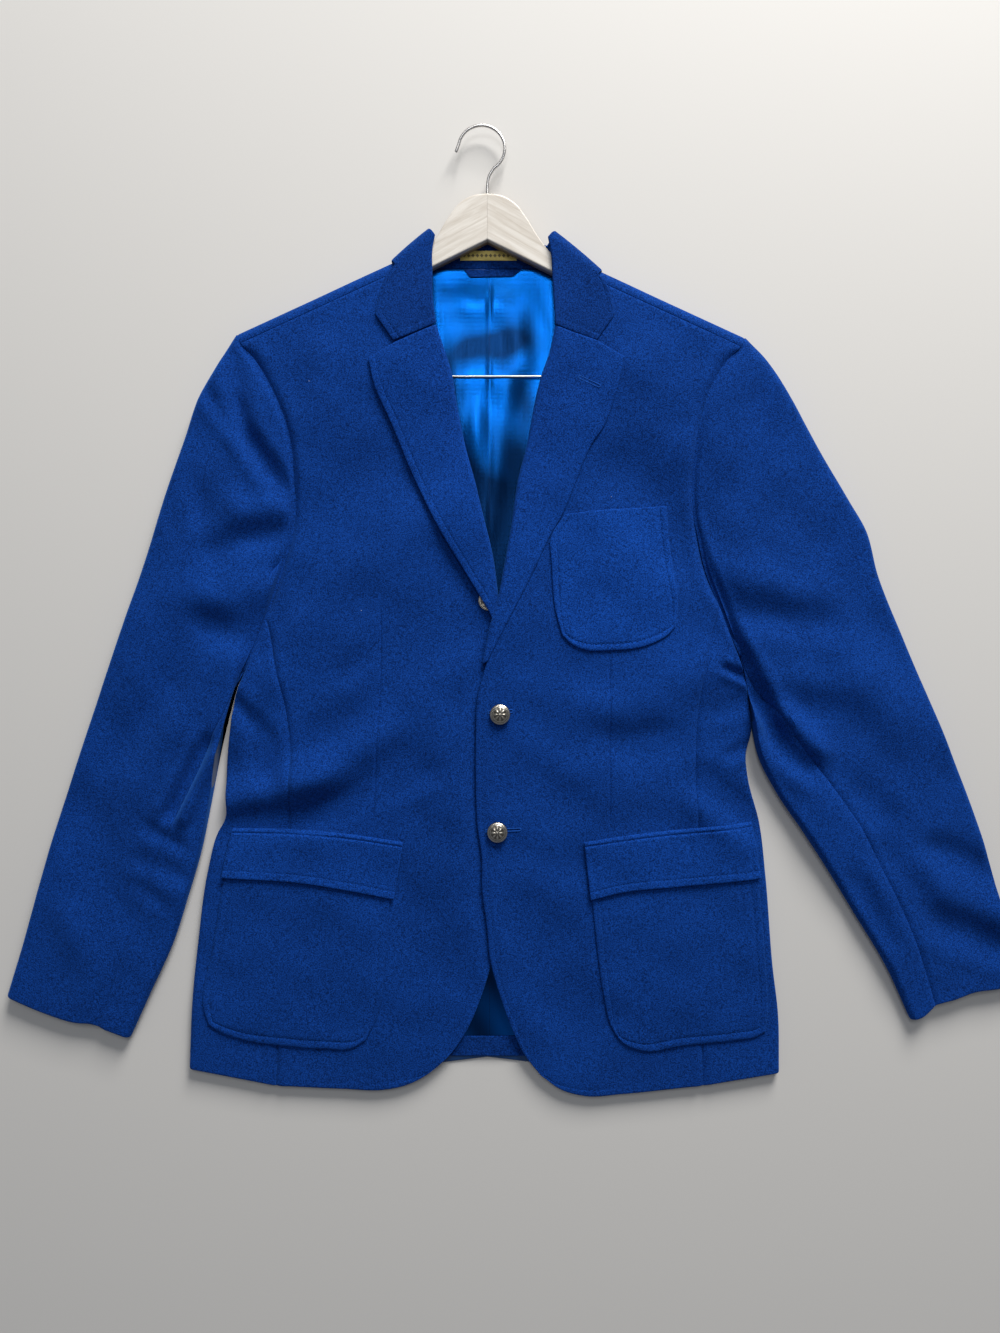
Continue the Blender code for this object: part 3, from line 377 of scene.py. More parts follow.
def fold(girth, radius, depth):
    """Half-round turn: run = r - (r - d) cos a + what is flat, height share (1 + sin a) / 2, drop d
    sin a.
    """
    arc = np.clip(girth / radius, -math.pi / 2, math.pi / 2)
    flat = np.maximum(np.abs(girth) - radius * math.pi / 2, 0.0)
    return radius - (radius - depth) * np.cos(arc) + flat, (1 + np.sin(arc)) / 2, depth * np.sin(arc)


def creased(x, y, rows):
    """Sum over the rows of height * g(t), t the distance to the row's segment over its half width.

    g = exp(-t^2) - 0.42 exp(-((t - 1.9) / 0.9)^2) - 0.18 exp(-((t + 1.9) / 0.9)^2), so that a
    trough has a ridge on each side, and it fades past the segment's ends.
    """
    total = np.zeros(np.shape(x))
    for x0, y0, x1, y1, width, height in rows:
        run = math.hypot(x1 - x0, y1 - y0)
        ux, uy = (x1 - x0) / run, (y1 - y0) / run
        place = (x - x0) * ux + (y - y0) * uy
        aside = (x - x0) * uy - (y - y0) * ux
        beyond = np.maximum(np.maximum(-place, place - run), 0.0)
        t = aside / width
        profile = bell(t, 1.0) - 0.42 * bell(t, 0.9, 1.9) - 0.18 * bell(t, 0.9, -1.9)
        total = total + height * profile * bell(beyond, 1.6 * width)
    return total


def held_up(relief, room):
    """Relief whose falls flatten out towards the room below: -room tanh(-relief / room) where it is
    negative.
    """
    return np.where(relief < 0, -room * np.tanh(-relief / room), relief)


def seam_dip(distance, depth, width=2.6):
    """Trough beside a seam, and a slight swell a little way from it."""
    return -depth * bell(distance, width) + 0.35 * depth * bell(distance, 2 * width, 3.4 * width)


def slit(side, y):
    """How much deeper the armhole seam lies in its lower half, where the sleeve folds over the body."""
    return {"left": 1.6, "right": 0.6}[side] * smoothstep((100 - y) / 70.0)


def ripple(x, y):
    """Slow unevenness of laid cloth: five long sine waves of different directions, under half a
    millimetre each.
    """
    total = np.zeros(np.shape(x))
    for length, angle, phase, height in ((92, 0.4, 0.3, 0.34), (63, 1.3, 1.7, 0.26), (47, 2.2, 4.1, 0.18),
                                         (131, 2.8, 2.2, 0.42), (34, 0.9, 5.0, 0.09)):
        way = x * math.cos(angle) + y * math.sin(angle)
        total = total + height * np.sin(way * 2 * math.pi / length + phase)
    return total


# ---------------------------------------------------------------- heights

def shoulder_line(x):
    """Height on the page of the shoulder's outermost line: peak - slope * distance from the neck."""
    return SHOULDER_PEAK - SHOULDER_SLOPE * np.abs(x - NECK_X)


def shoulder_out(side):
    """Unit direction square to the shoulder line, away from the body."""
    angle = math.atan(SHOULDER_SLOPE)
    return np.array([SIGN[side] * math.sin(angle), math.cos(angle)])


def body_top(x, y):
    """Lower body's loft, plus the rise over the hanger's arms as a smooth step of the distance below
    the shoulder.
    """
    tent = smoothstep((TENT_FAR - (shoulder_line(x) - y)) / (TENT_FAR - TENT_NEAR))
    return BODY_LOFT + (TENT_LOFT - BODY_LOFT) * tent


def body_relief(x, y):
    """Creases and ripple of the fronts, faded out at the seams' ends and kept off the hem and the
    shoulders.
    """
    calm = smoothstep((y + 450) / 60.0) * smoothstep((shoulder_line(x) - y - 12) / 40.0)
    relief = settings().crease_depth * (creased(x, y, BODY_CREASES) + 0.7 * ripple(x, y)) * calm
    return held_up(relief, body_top(x, y) - BACK_WALL - FRONT_WALL - 1.6)


def floor_rise(x, y):
    """Outer face of the back: on the floor, and a step up over the collar's fall."""
    return COLLAR_STEP * smoothstep((y - 185.0) / 60.0) * smoothstep((160.0 - np.abs(x - NECK_X)) / 40.0)


def lining_rise(y):
    """Lower face of the lining: a smooth step up towards the neck."""
    return COLLAR_STEP * smoothstep((y - 95.0) / 90.0)


def left_front_line(y):
    """Place along X of the left front's edge and roll line at each height on the page."""
    line = np.array(FRONT_EDGE["left"] + ROLL["left"][1:], float)
    return np.interp(y, line[:, 1], line[:, 0])


def front_top(side, x, y):
    """Outer face of one front: body_top, its rolled edge as a bell across the roll line, creases and
    the overlap.
    """
    line = np.array(FRONT_EDGE[side] + ROLL[side][1:], float)
    aside = np.abs(x - np.interp(y, line[:, 1], line[:, 0]))
    lift = table(FRONT_LIFT[side], y) * bell(aside, LIFT_REACH)
    top = body_top(x, y) + lift
    relief = body_relief(x, y)
    if side == "right":
        under = smoothstep((x - left_front_line(y) + 13.0) / 11.0) * smoothstep((110.0 - y) / 80.0)
        return top - OVERLAP_DIP * under + relief * (1 - under)
    return top + relief * smoothstep((aside - 2.0) / 22.0)


def sleeve_loft(x, y, down):
    """Height of the sleeve: level with the body at the armhole, then its own loft."""
    body = body_top(x, y)
    return body + (table(SLEEVE_LOFT, down) - body) * smoothstep(down / SLEEVE_BLEND)


def sleeve_top(side, x, y, down):
    """Outer face of the sleeve, with its creases."""
    base = sleeve_loft(x, y, down)
    relief = creased(x, y, SLEEVE_CREASES[side]) + 0.9 * ripple(x * 1.3, y * 0.8)
    relief = SLEEVE_CREASE_SHARE * settings().crease_depth * relief
    relief = relief * smoothstep(down / 0.02) * smoothstep((1.0 - down) / 0.05)
    return base + held_up(relief, base - 2 * SLEEVE_WALL - 2.4)


# ---------------------------------------------------------------- meshes

def settings():
    """The cloth settings of this scene."""
    return bpy.context.scene.blazer_cloth


def mesh_object(name, points, faces, materials, face_slots=None):
    """An object from points in millimetres and faces, shaded smooth but for its sharpest edges."""
    mesh = bpy.data.meshes.new(name)
    mesh.from_pydata((points * MM).tolist(), [], faces if isinstance(faces, list) else faces.tolist())
    for finish in materials:
        mesh.materials.append(finish)
    if face_slots is not None:
        mesh.polygons.foreach_set("material_index", np.asarray(face_slots, np.int32))
    mesh.polygons.foreach_set("use_smooth", np.ones(len(mesh.polygons), bool))
    mesh.set_sharp_from_angle(angle=math.radians(SHARP_ANGLE))
    mesh.update()
    item = bpy.data.objects.new(name, mesh)
    bpy.context.scene.collection.objects.link(item)
    return item


def quads(number):
    """Faces of a grid of point numbers."""
    low, high = number[:-1], number[1:]
    return np.stack([low[:, :-1], low[:, 1:], high[:, 1:], high[:, :-1]], axis=-1).reshape(-1, 4)


def lengths(points, axis):
    """Running length over a grid's points along one axis."""
    step = np.linalg.norm(np.diff(points, axis=axis), axis=-1)
    start = np.zeros_like(np.take(step, [0], axis=axis))
    return np.cumsum(np.concatenate([start, step], axis=axis), axis=axis)


def edge_distances(points):
    """Distance over the cloth to the bottom, top, left and right borders of a grid."""
    up, across = lengths(points, 0), lengths(points, 1)
    return up, up[-1:] - up, across, across[:, -1:] - across


def rounded(outer, inner, rims, radius):
    """Both faces drawn together towards their middle surface near the borders.

    At a folded edge the share kept is sqrt(1 - (1 - d / r)^2), a quarter ellipse. At a seam it falls to 0.6.
    """
    kept = np.ones(outer.shape[:2])
    for style, distance in zip(rims, edge_distances(outer)):
        if style == "fold":
            near = np.clip(distance / radius, 0, 1)
            kept = np.minimum(kept, 0.06 + 0.94 * np.sqrt(1 - (1 - near) ** 2))
        elif style == "seam":
            kept = np.minimum(kept, 0.62 + 0.38 * smoothstep(distance / 1.6))
    middle = (outer + inner) / 2
    return middle + (outer - middle) * kept[..., None], middle + (inner - middle) * kept[..., None]


def shell(name, outer, inner, rims, finish, inside=None, radius=2.0):
    """Closed cloth between two grids, with its rims rounded. Faces are turned to point out of the solid."""
    outer, inner = rounded(outer, inner, rims, radius)
    rows, cols = outer.shape[:2]
    number = np.arange(rows * cols).reshape(rows, cols)
    under = number + rows * cols
    rim = np.concatenate([number[0, :-1], number[:-1, -1], number[-1, :0:-1], number[:0:-1, 0]])
    rim_under = rim + rows * cols
    sides = np.stack([rim, rim_under, np.roll(rim_under, -1), np.roll(rim, -1)], axis=-1)
    faces = np.vstack([quads(number), quads(under)[:, ::-1], sides])
    middle = (rows // 2, cols // 2)
    turn = np.cross(outer[middle[0], middle[1] + 1] - outer[middle],
                    outer[middle[0] + 1, middle[1]] - outer[middle])
    if turn @ (outer[middle] - inner[middle]) < 0:
        faces = faces[:, ::-1]
    slots = np.concatenate([np.zeros(number[1:, 1:].size), np.ones(number[1:, 1:].size),
                            np.zeros(len(sides))])
    points = np.vstack([outer.reshape(-1, 3), inner.reshape(-1, 3)])
    return mesh_object(name, points, faces, [finish, inside or finish], slots)


def mark_points(piece, name, values):
    """One number at each point, for a finish to read."""
    mark = piece.data.attributes.new(name, "FLOAT", "POINT")
    mark.data.foreach_set("value", values.astype(np.float32))


def on_plan(plan, height):
    """Points over a plan at given heights."""
    return np.dstack([plan[..., 0], plan[..., 1], height])


def seat(piece, node=None):
    """A piece rides on the one body, and takes its node's place where it has one."""
    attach(piece, "root")
    if node:
        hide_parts(node)
    return piece


def settle(piece, node):
    """A cloth piece is seated."""
    seat(piece, node)
    return piece


def settle_wool(piece, node):
    """A wool piece is settled."""
    return settle(piece, node)


# ---------------------------------------------------------------- shader parts

def new_group(name, inputs, outputs):
    """An empty shader group with named sockets, and its two end nodes."""
    group = bpy.data.node_groups.new(name, "ShaderNodeTree")
    for label, kind, value in inputs:
        socket = group.interface.new_socket(name=label, in_out="INPUT", socket_type=kind)
        socket.default_value = value
    for label, kind in outputs:
        group.interface.new_socket(name=label, in_out="OUTPUT", socket_type=kind)
    return group, group.nodes.new("NodeGroupInput"), group.nodes.new("NodeGroupOutput")


def add(tree, kind, links=(), **values):
    """A node with its properties set, and (socket, source) pairs linked or set as values."""
    node = tree.nodes.new(kind)
    for key, value in values.items():
        setattr(node, key, value)
    for key, source in links:
        if isinstance(source, bpy.types.NodeSocket):
            tree.links.new(source, node.inputs[key])
        else:
            node.inputs[key].default_value = source
    return node


def mixed(tree, factor, first, second, mode="MIX"):
    """Colour mix of two sources by a factor."""
    node = add(tree, "ShaderNodeMix", data_type="RGBA", blend_type=mode)
    for key, source in ((0, factor), (6, first), (7, second)):
        if isinstance(source, bpy.types.NodeSocket):
            tree.links.new(source, node.inputs[key])
        else:
            node.inputs[key].default_value = source
    return node.outputs[2]


def ranged(tree, value, low, high, to_low=0.0, to_high=1.0):
    """A value carried from one range to another, held at the ends."""
    node = add(tree, "ShaderNodeMapRange", (("Value", value), ("From Min", low), ("From Max", high),
                                            ("To Min", to_low), ("To Max", to_high)))
    return node.outputs["Result"]


def math_node(tree, operation, first, second=0.0):
    """One step of arithmetic on two sources."""
    return add(tree, "ShaderNodeMath", ((0, first), (1, second)), operation=operation).outputs[0]


def times(tree, first, second):
    """first * second."""
    return math_node(tree, "MULTIPLY", first, second)


def plus(tree, first, second):
    """first + second."""
    return math_node(tree, "ADD", first, second)


def minus(tree, first, second):
    """first - second."""
    return math_node(tree, "SUBTRACT", first, second)


def noise(tree, place, scale, detail, **more):
    """Value of a noise texture at a place."""
    links = (("Vector", place), ("Scale", scale), ("Detail", detail), *more.items())
    return add(tree, "ShaderNodeTexNoise", links).outputs["Fac"]


def nap_group():
    """Brushed wool: a fine nap of two noises, slow unevenness of tone and sparse specks of lint."""
    if "Wool nap" in bpy.data.node_groups:
        return bpy.data.node_groups["Wool nap"]
    group, start, end = new_group(
        "Wool nap",
        (("Deep", "NodeSocketColor", (0, 0, 0, 1)), ("Raised", "NodeSocketColor", (0, 0, 0, 1)),
         ("Contrast", "NodeSocketFloat", 1.0), ("Lint", "NodeSocketFloat", 1.0)),
        (("Colour", "NodeSocketColor"), ("Height", "NodeSocketFloat")))
    place = add(group, "ShaderNodeTexCoord").outputs["Object"]
    fine = noise(group, place, 900.0, 1.0, Roughness=0.6)
    coarse = noise(group, place, 260.0, 3.0, Roughness=0.6)
    slow = noise(group, place, 9.0, 3.0, Roughness=0.55)
    both = plus(group, times(group, fine, 0.8),
                     times(group, coarse, 0.2))
    centred = times(group, minus(group, both, 0.5), start.outputs["Contrast"])
    tone = times(group, minus(group, slow, 0.5), 0.35)
    share = plus(group, plus(group, centred, tone), 0.5)
    cloth = mixed(group, ranged(group, share, 0.0, 1.0), start.outputs["Deep"], start.outputs["Raised"])
    spots = add(group, "ShaderNodeTexVoronoi", (("Vector", place), ("Scale", 42.0), ("Randomness", 1.0)))
    some = add(group, "ShaderNodeSeparateColor", (("Color", spots.outputs["Color"]),))
    speck = times(group, ranged(group, spots.outputs["Distance"], 0.022, 0.010),
                      ranged(group, some.outputs[0], 0.80, 0.95))
    speck = times(group, speck, start.outputs["Lint"])
    cloth = mixed(group, speck, cloth, (0.32, 0.40, 0.52, 1.0))
    group.links.new(cloth, end.inputs["Colour"])
    group.links.new(both, end.inputs["Height"])
    return group


def weave_group():
    """Plain weave: two crossed sine waves over the piece, their sum as height, and a stretched noise of
    slubs as a mask.
    """
    if "Fine weave" in bpy.data.node_groups:
        return bpy.data.node_groups["Fine weave"]
    group, start, end = new_group(
        "Fine weave", (("Threads per metre", "NodeSocketFloat", 2000.0), ("Slub", "NodeSocketFloat", 0.5)),
        (("Mask", "NodeSocketFloat"), ("Height", "NodeSocketFloat")))
    place = add(group, "ShaderNodeTexCoord").outputs["Object"]
    axes = add(group, "ShaderNodeSeparateXYZ", (("Vector", place),))
    waves = [add(group, "ShaderNodeMath", ((0, times(group, axes.outputs[k],
                                                        start.outputs["Threads per metre"])),),
                                                        operation="SINE")
             for k in (0, 1)]
    height = plus(group, waves[0].outputs[0], waves[1].outputs[0])
    stretch = add(group, "ShaderNodeMapping", (("Vector", place), ("Scale", (700.0, 22.0, 700.0))))
    slub = noise(group, stretch.outputs[0], 1.0, 2.0)
    uneven = times(group, minus(group, slub, 0.5), start.outputs["Slub"])
    group.links.new(ranged(group, plus(group, uneven, 0.5), 0.0, 1.0), end.inputs["Mask"])
    group.links.new(height, end.inputs["Height"])
    return group


def finish_start(name, **constants):
    """A material with its Principled BSDF's constant sockets set, or None with the one made before."""
    made = bpy.data.materials.get(name)
    if made:
        return made, None, None
    made = bpy.data.materials.new(name)
    made.use_nodes = True
    shader = made.node_tree.nodes["Principled BSDF"]
    for key, value in constants.items():
        shader.inputs[key.replace("_", " ")].default_value = value
    return made, made.node_tree, shader


def placed_group(tree, group, **values):
    """A shader group in a material, with its inputs set."""
    node = tree.nodes.new("ShaderNodeGroup")
    node.node_tree = group
    for key, value in values.items():
        node.inputs[key.replace("_", " ")].default_value = value
    return node


def bumped(tree, shader, height, strength, distance):
    """Bump from a height, into the material's shader."""
    bump = add(tree, "ShaderNodeBump", (("Height", height), ("Strength", strength), ("Distance", distance)))
    tree.links.new(bump.outputs["Normal"], shader.inputs["Normal"])


def wool(kind="body"):
    """Navy flannel, with painted light and painted shade in lighter and darker copies of it: the lapels,
    flaps and chest pocket are lighter than the body, and the collar, its band, the hem strip and the loop
    tape are darker.
    """
    made, tree, shader = finish_start(f"navy_wool_{kind}", Roughness=0.95, Sheen_Weight=0.30,
                                      Sheen_Roughness=0.45,
                                      Specular_IOR_Level=0.06)
    if tree is None:
        return made
    shader.inputs["Sheen Tint"].default_value = (0.06, 0.30, 1.0, 1.0)
    cloth = settings()
    # Painted light and painted shade: lighter copies of the wool for the lapels, flaps and chest pocket, a
    # darker copy for the collar, its band, the hem strip and the loop tape
    lift = {"body": 1.0, "painted_light": 1.12, "painted_highlight": 1.24, "shade": 0.82}[kind]
    deep = (*[c * lift for c in cloth.wool_deep], 1.0)
    raised = (*[c * lift for c in cloth.wool_raised], 1.0)
    nap = placed_group(tree, nap_group(), Deep=deep, Raised=raised, Contrast=cloth.nap_contrast, Lint=1.0)
    tree.links.new(nap.outputs["Colour"], shader.inputs["Base Color"])
    bumped(tree, shader, nap.outputs["Height"], 0.5, 0.0004)
    return made


def satin():
    """Metallic blue satin with its light painted into the base colour: a bright blue painted highlight and a
    nearly black blue painted shade, mixed by the points' shade mark, under a fine weave.
    """
    made, tree, shader = finish_start("blue_satin", Roughness=0.24, Metallic=0.85, Sheen_Weight=0.0,
                                      Anisotropic=0.5, Specular_IOR_Level=0.0)
    if tree is None:
        return made
    cloth = settings()
    shade = add(tree, "ShaderNodeAttribute", attribute_name="shade").outputs["Fac"]
    weave = placed_group(tree, weave_group(), Threads_per_metre=5200.0, Slub=0.5)
    # Painted highlight and painted shade: the shade mark turns the bright blue into the dark blue
    colour = mixed(tree, shade, (*cloth.satin_painted_highlight, 1.0), (*cloth.satin_painted_shade, 1.0))
    streaked = mixed(tree, ranged(tree, weave.outputs["Mask"], 0.2, 0.8, 0.0, 0.35), colour,
                     (0.01, 0.06, 0.22, 1.0))
    tree.links.new(streaked, shader.inputs["Base Color"])
    bumped(tree, shader, weave.outputs["Height"], 0.12, 0.0001)
    return made


def label_weave():
    """Gold woven label with a plain repeat of small lozenges."""
    made, tree, shader = finish_start("gold_label", Roughness=0.55, Sheen_Weight=0.2)
    if tree is None:
        return made
    place = add(tree, "ShaderNodeTexCoord").outputs["Object"]
    axes = add(tree, "ShaderNodeSeparateXYZ", (("Vector", place),))
    across = math_node(tree, "PINGPONG", times(tree, axes.outputs[0], 1000.0), 2.1)
    up = math_node(tree, "ABSOLUTE", minus(tree, times(tree, axes.outputs[1], 1000.0),
                                               341.2))
    lozenge = ranged(tree, plus(tree, across, up), 1.5, 2.1)
    colour = mixed(tree, lozenge, (0.13, 0.10, 0.035, 1.0), (0.80, 0.62, 0.16, 1.0))
    weave = placed_group(tree, weave_group(), Threads_per_metre=9000.0, Slub=0.8)
    colour = mixed(tree, ranged(tree, weave.outputs["Mask"], 0.2, 0.8, 0.0, 0.3), colour,
                   (0.34, 0.27, 0.09, 1.0))
    tree.links.new(colour, shader.inputs["Base Color"])
    bumped(tree, shader, weave.outputs["Height"], 0.3, 0.0001)
    return made


def thread():
    """Buttonhole and pick-stitch thread: navy, with the nap group's fuzz."""
    made, tree, shader = finish_start("navy_thread", Roughness=0.8, Sheen_Weight=0.0, Specular_IOR_Level=0.1)
    if tree is None:
        return made
    nap = placed_group(tree, nap_group(), Deep=(0.002, 0.028, 0.150, 1.0), Raised=(0.010, 0.090, 0.420, 1.0),
                       Contrast=1.0, Lint=0.0)
    tree.links.new(nap.outputs["Colour"], shader.inputs["Base Color"])
    bumped(tree, shader, nap.outputs["Height"], 0.3, 0.0003)
    return made


def pale_wood():
    """Lacquered pale wood: long grain from noise stretched along X, darker pores, and painted shade as a
    browner underside.
    """
    made, tree, shader = finish_start("pale_wood", Roughness=0.38, Coat_Weight=0.35, Coat_Roughness=0.25)
    if tree is None:
        return made
    place = add(tree, "ShaderNodeTexCoord").outputs["Object"]
    axes = add(tree, "ShaderNodeSeparateXYZ", (("Vector", place),))
    out = math_node(tree, "ABSOLUTE", plus(tree, axes.outputs[0], -NECK_X * MM))
    run = minus(tree, times(tree, out, 0.87),
                    times(tree, axes.outputs[1], 0.49))
    aside = plus(tree, times(tree, out, 0.49),
                      times(tree, axes.outputs[1], 0.87))
    apart = times(tree, math_node(tree, "SIGN", plus(tree, axes.outputs[0], 0.024)), 0.3)
    along_arm = add(tree, "ShaderNodeCombineXYZ", ((0, run), (1, aside), (2, apart)))
    turned = add(tree, "ShaderNodeMapping",
                 (("Vector", along_arm.outputs[0]), ("Scale", (16.0, 210.0, 20.0))))
    grain = noise(tree, turned.outputs[0], 1.0, 6.0, Roughness=0.6, Distortion=0.6)
    pores = noise(tree, turned.outputs[0], 7.0, 2.0)
    colour = mixed(tree, ranged(tree, grain, 0.35, 0.72), (0.64, 0.60, 0.54, 1.0),
                   (0.44, 0.385, 0.315, 1.0))
    colour = mixed(tree, ranged(tree, pores, 0.62, 0.72, 0.0, 0.3), colour, (0.40, 0.27, 0.15, 1.0))
    # Painted shade: the wood turns dark brown down its sides, from 15 mm above the floor to 11 mm
    colour = mixed(tree, ranged(tree, axes.outputs[2], 0.0150, 0.0110), colour, (0.26, 0.17, 0.10, 1.0))
    tree.links.new(colour, shader.inputs["Base Color"])
    bumped(tree, shader, grain, 0.08, 0.0004)
    return made


def wear_group():
    """Metal that has been handled: blotches of noise."""
    if "Handled metal" in bpy.data.node_groups:
        return bpy.data.node_groups["Handled metal"]
    group, start, end = new_group(
        "Handled metal",
        (("Clean", "NodeSocketColor", (1, 1, 1, 1)), ("Tarnish", "NodeSocketColor", (0, 0, 0, 1)),
         ("Size", "NodeSocketFloat", 300.0), ("Amount", "NodeSocketFloat", 0.5)),
        (("Colour", "NodeSocketColor"), ("Roughness", "NodeSocketFloat"), ("Height", "NodeSocketFloat")))
    place = add(group, "ShaderNodeTexCoord").outputs["Object"]
    blot = noise(group, place, start.outputs["Size"], 5.0)
    mask = times(group, ranged(group, blot, 0.42, 0.66), start.outputs["Amount"])
    colour = mixed(group, mask, start.outputs["Clean"], start.outputs["Tarnish"])
    group.links.new(colour, end.inputs["Colour"])
    group.links.new(ranged(group, mask, 0.0, 1.0, 0.26, 0.55), end.inputs["Roughness"])
    group.links.new(blot, end.inputs["Height"])
    return group


def metal(name, clean, tarnish, size, amount):
    """Handled metal. On the buttons the hollows of the relief are tarnished too."""
    made, tree, shader = finish_start(name, Metallic=1.0)
    if tree is None:
        return made
    wear = placed_group(tree, wear_group(), Clean=clean, Tarnish=tarnish, Size=size, Amount=amount)
    colour = wear.outputs["Colour"]
    if name == "antique_button":
        hollow = add(tree, "ShaderNodeAttribute", attribute_name="hollow").outputs["Fac"]
        colour = mixed(tree, ranged(tree, hollow, 0.0, 1.0, 0.0, 0.85), colour, tarnish)
    tree.links.new(colour, shader.inputs["Base Color"])
    tree.links.new(wear.outputs["Roughness"], shader.inputs["Roughness"])
    bumped(tree, shader, wear.outputs["Height"], 0.08, 0.0002)
    return made


# ---------------------------------------------------------------- stitches

STITCH_RUNS = []


def remember_run(path, pitch=4.2):
    """Keeps a line just above the cloth for the stitching that is made last."""
    STITCH_RUNS.append((path + [0, 0, STITCH_LIFT], pitch))


def stitches(path, pitch, length=2.0, radius=0.26):
    """Small lozenge-ended threads set evenly along a path: six points round each of two rings, and two
    tips.
    """
    run = lengths(path[None], 1)[0]
    count = max(int(run[-1] / pitch), 1)
    centre = (np.arange(count) + 0.5) * run[-1] / count

    def at(places):
        return np.stack([np.interp(places, run, path[:, axis]) for axis in range(3)], axis=-1)

    spot, ahead, behind = at(centre), at(centre + 0.5), at(centre - 0.5)
    way = (ahead - behind) / np.linalg.norm(ahead - behind, axis=1, keepdims=True)
    aside = np.cross(way, [0.0, 0.0, 1.0])
    aside /= np.linalg.norm(aside, axis=1, keepdims=True)
    up = np.cross(aside, way)
    angles = np.arange(6) * math.pi / 3
    ring = (aside[:, None] * np.cos(angles)[None, :, None] + up[:, None] * np.sin(angles)[None, :,
                                                                                          None]) * radius
    low = (spot - way * length * 0.35)[:, None] + ring
    high = (spot + way * length * 0.35)[:, None] + ring
    tips = np.stack([spot - way * length * 0.5, spot + way * length * 0.5], axis=1) - up[:,
                                                                                         None] * radius * 0.6
    points = np.concatenate([low, high, tips], axis=1)
    turn = np.arange(6)
    after = (turn + 1) % 6
    body = np.stack([turn, after, after + 6, turn + 6], axis=-1)
    caps = np.stack([np.concatenate([after, turn + 6]), np.concatenate([turn, after + 6]),
                     np.repeat([12, 13], 6), np.repeat([12, 13], 6)], axis=-1)
    faces = np.vstack([body, caps])[None] + np.arange(count)[:, None, None] * 14
    return points.reshape(-1, 3), faces.reshape(-1, 4)


def tube(path, radius, sides=12, closed=False):
    """Round section carried along a path: centre + radius * (across cos a + up sin a), with shrinking
    end rings.
    """
    way = np.gradient(path, axis=0)
    if closed:
        way = np.roll(path, -1, axis=0) - np.roll(path, 1, axis=0)
    way /= np.linalg.norm(way, axis=1, keepdims=True)
    aside = np.cross(way, [0.0, 0.0, 1.0])
    aside /= np.linalg.norm(aside, axis=1, keepdims=True)
    up = np.cross(aside, way)
    angles = np.arange(sides) * 2 * math.pi / sides
    radii = np.full(len(path), radius)
    if not closed:
        cap = np.array([0.02, 0.5, 0.8, 0.95])
        steps = np.sqrt(1 - cap ** 2) * radius
        path = np.vstack([path[0] - way[0] * steps[:, None], path, path[-1] + way[-1] * steps[::-1, None]])
        aside = np.vstack([np.repeat(aside[:1], 4, 0), aside, np.repeat(aside[-1:], 4, 0)])
        up = np.vstack([np.repeat(up[:1], 4, 0), up, np.repeat(up[-1:], 4, 0)])
        radii = np.concatenate([cap * radius, radii, cap[::-1] * radius])
    rings = path[:, None] + radii[:, None, None] * (aside[:, None] * np.cos(angles)[None, :, None]
                                                    + up[:, None] * np.sin(angles)[None, :, None])
    number = np.arange(len(path) * sides).reshape(len(path), sides)
    if closed:
        number = np.vstack([number, number[:1]])
    after = np.roll(number, -1, axis=1)
    faces = np.stack([number[:-1], after[:-1], after[1:], number[1:]], axis=-1).reshape(-1, 4)[:, ::-1]
    if not closed:
        fans = [number[0][[0, k, k + 1, k + 2]] for k in range(1, sides - 2, 2)]
        fans += [number[-1][[0, k + 2, k + 1, k]] for k in range(1, sides - 2, 2)]
        faces = np.vstack([faces, fans])
    return rings.reshape(-1, 3), faces


# ---------------------------------------------------------------- body pieces

def arm_points(side, shares):
    """Points at shares of the armhole's length."""
    return along(curve(ARMHOLE[side], 400), shares)


def make_back(side):
    """Flat half back, then half round over the shoulder: outer = crest - out * (r - r cos a), z by (1
    + sin a) / 2.
    """
    out = shoulder_out(side)
    radius = TENT_LOFT / 2
    neck = np.array([SHOULDER_NECK[side], shoulder_line(SHOULDER_NECK[side])])
    tip_x = ARMHOLE[side][0][0] - SIGN[side] * 2 * SEAM_GAP
    tip = np.array([tip_x, shoulder_line(tip_x)])
    crest_line = np.linspace(neck, tip, 61)
    top_line = crest_line - out * radius
    middle = np.array([NECK_X + SIGN[side] * SEAM_GAP, NECK_EDGE])
    left = walk(np.linspace([middle[0], BACK_HEM], middle, 121), np.linspace(middle, top_line[0], 31))
    arm = moved_in(arm_points(side, np.linspace(ARMHOLE_SEAM_SHARE[side], 0.06, 45)), side, SEAM_GAP)
    seam = moved_in(curve(SIDE_SEAM[side], 100), side, SEAM_GAP)
    right = walk(seam, arm, np.linspace(arm[-1], top_line[-1], 6))
    bottom = np.linspace(left[0], right[0], 61)
    across, up = grid(graded(210, 5.0), np.concatenate([graded(760, 8.0)[:-5], [1.0]]))
    plan = patch(bottom, top_line, left, right, across, up)
    flat = on_plan(plan, floor_rise(plan[..., 0], plan[..., 1]))
    turns = np.concatenate([np.linspace(-math.pi / 2, math.pi / 2, 17)[1:], [math.pi / 2]])[:, None]
    past = np.concatenate([np.zeros(16), [SHOULDER_SEAM - radius]])[:, None]
    crest = along(crest_line, across[0])
    low = floor_rise(along(top_line, across[0])[:, 0], along(top_line, across[0])[:, 1])

    def arch(depth):
        inset = radius - (radius - depth) * np.cos(turns) + past
        over = crest[None] - out * inset[..., None]
        return on_plan(over, low + (TENT_LOFT - low) * (1 + np.sin(turns)) / 2 - depth * np.sin(turns))

    outer = np.concatenate([flat, arch(0.0)])
    inner = np.concatenate([flat + [0, 0, BACK_WALL], arch(BACK_WALL)])
    piece = shell(f"back_panel_{side}", outer, inner, ("fold", "seam", "seam", "seam"), wool(),
                  satin_inside())
    return settle_wool(piece, f"back_{side}")


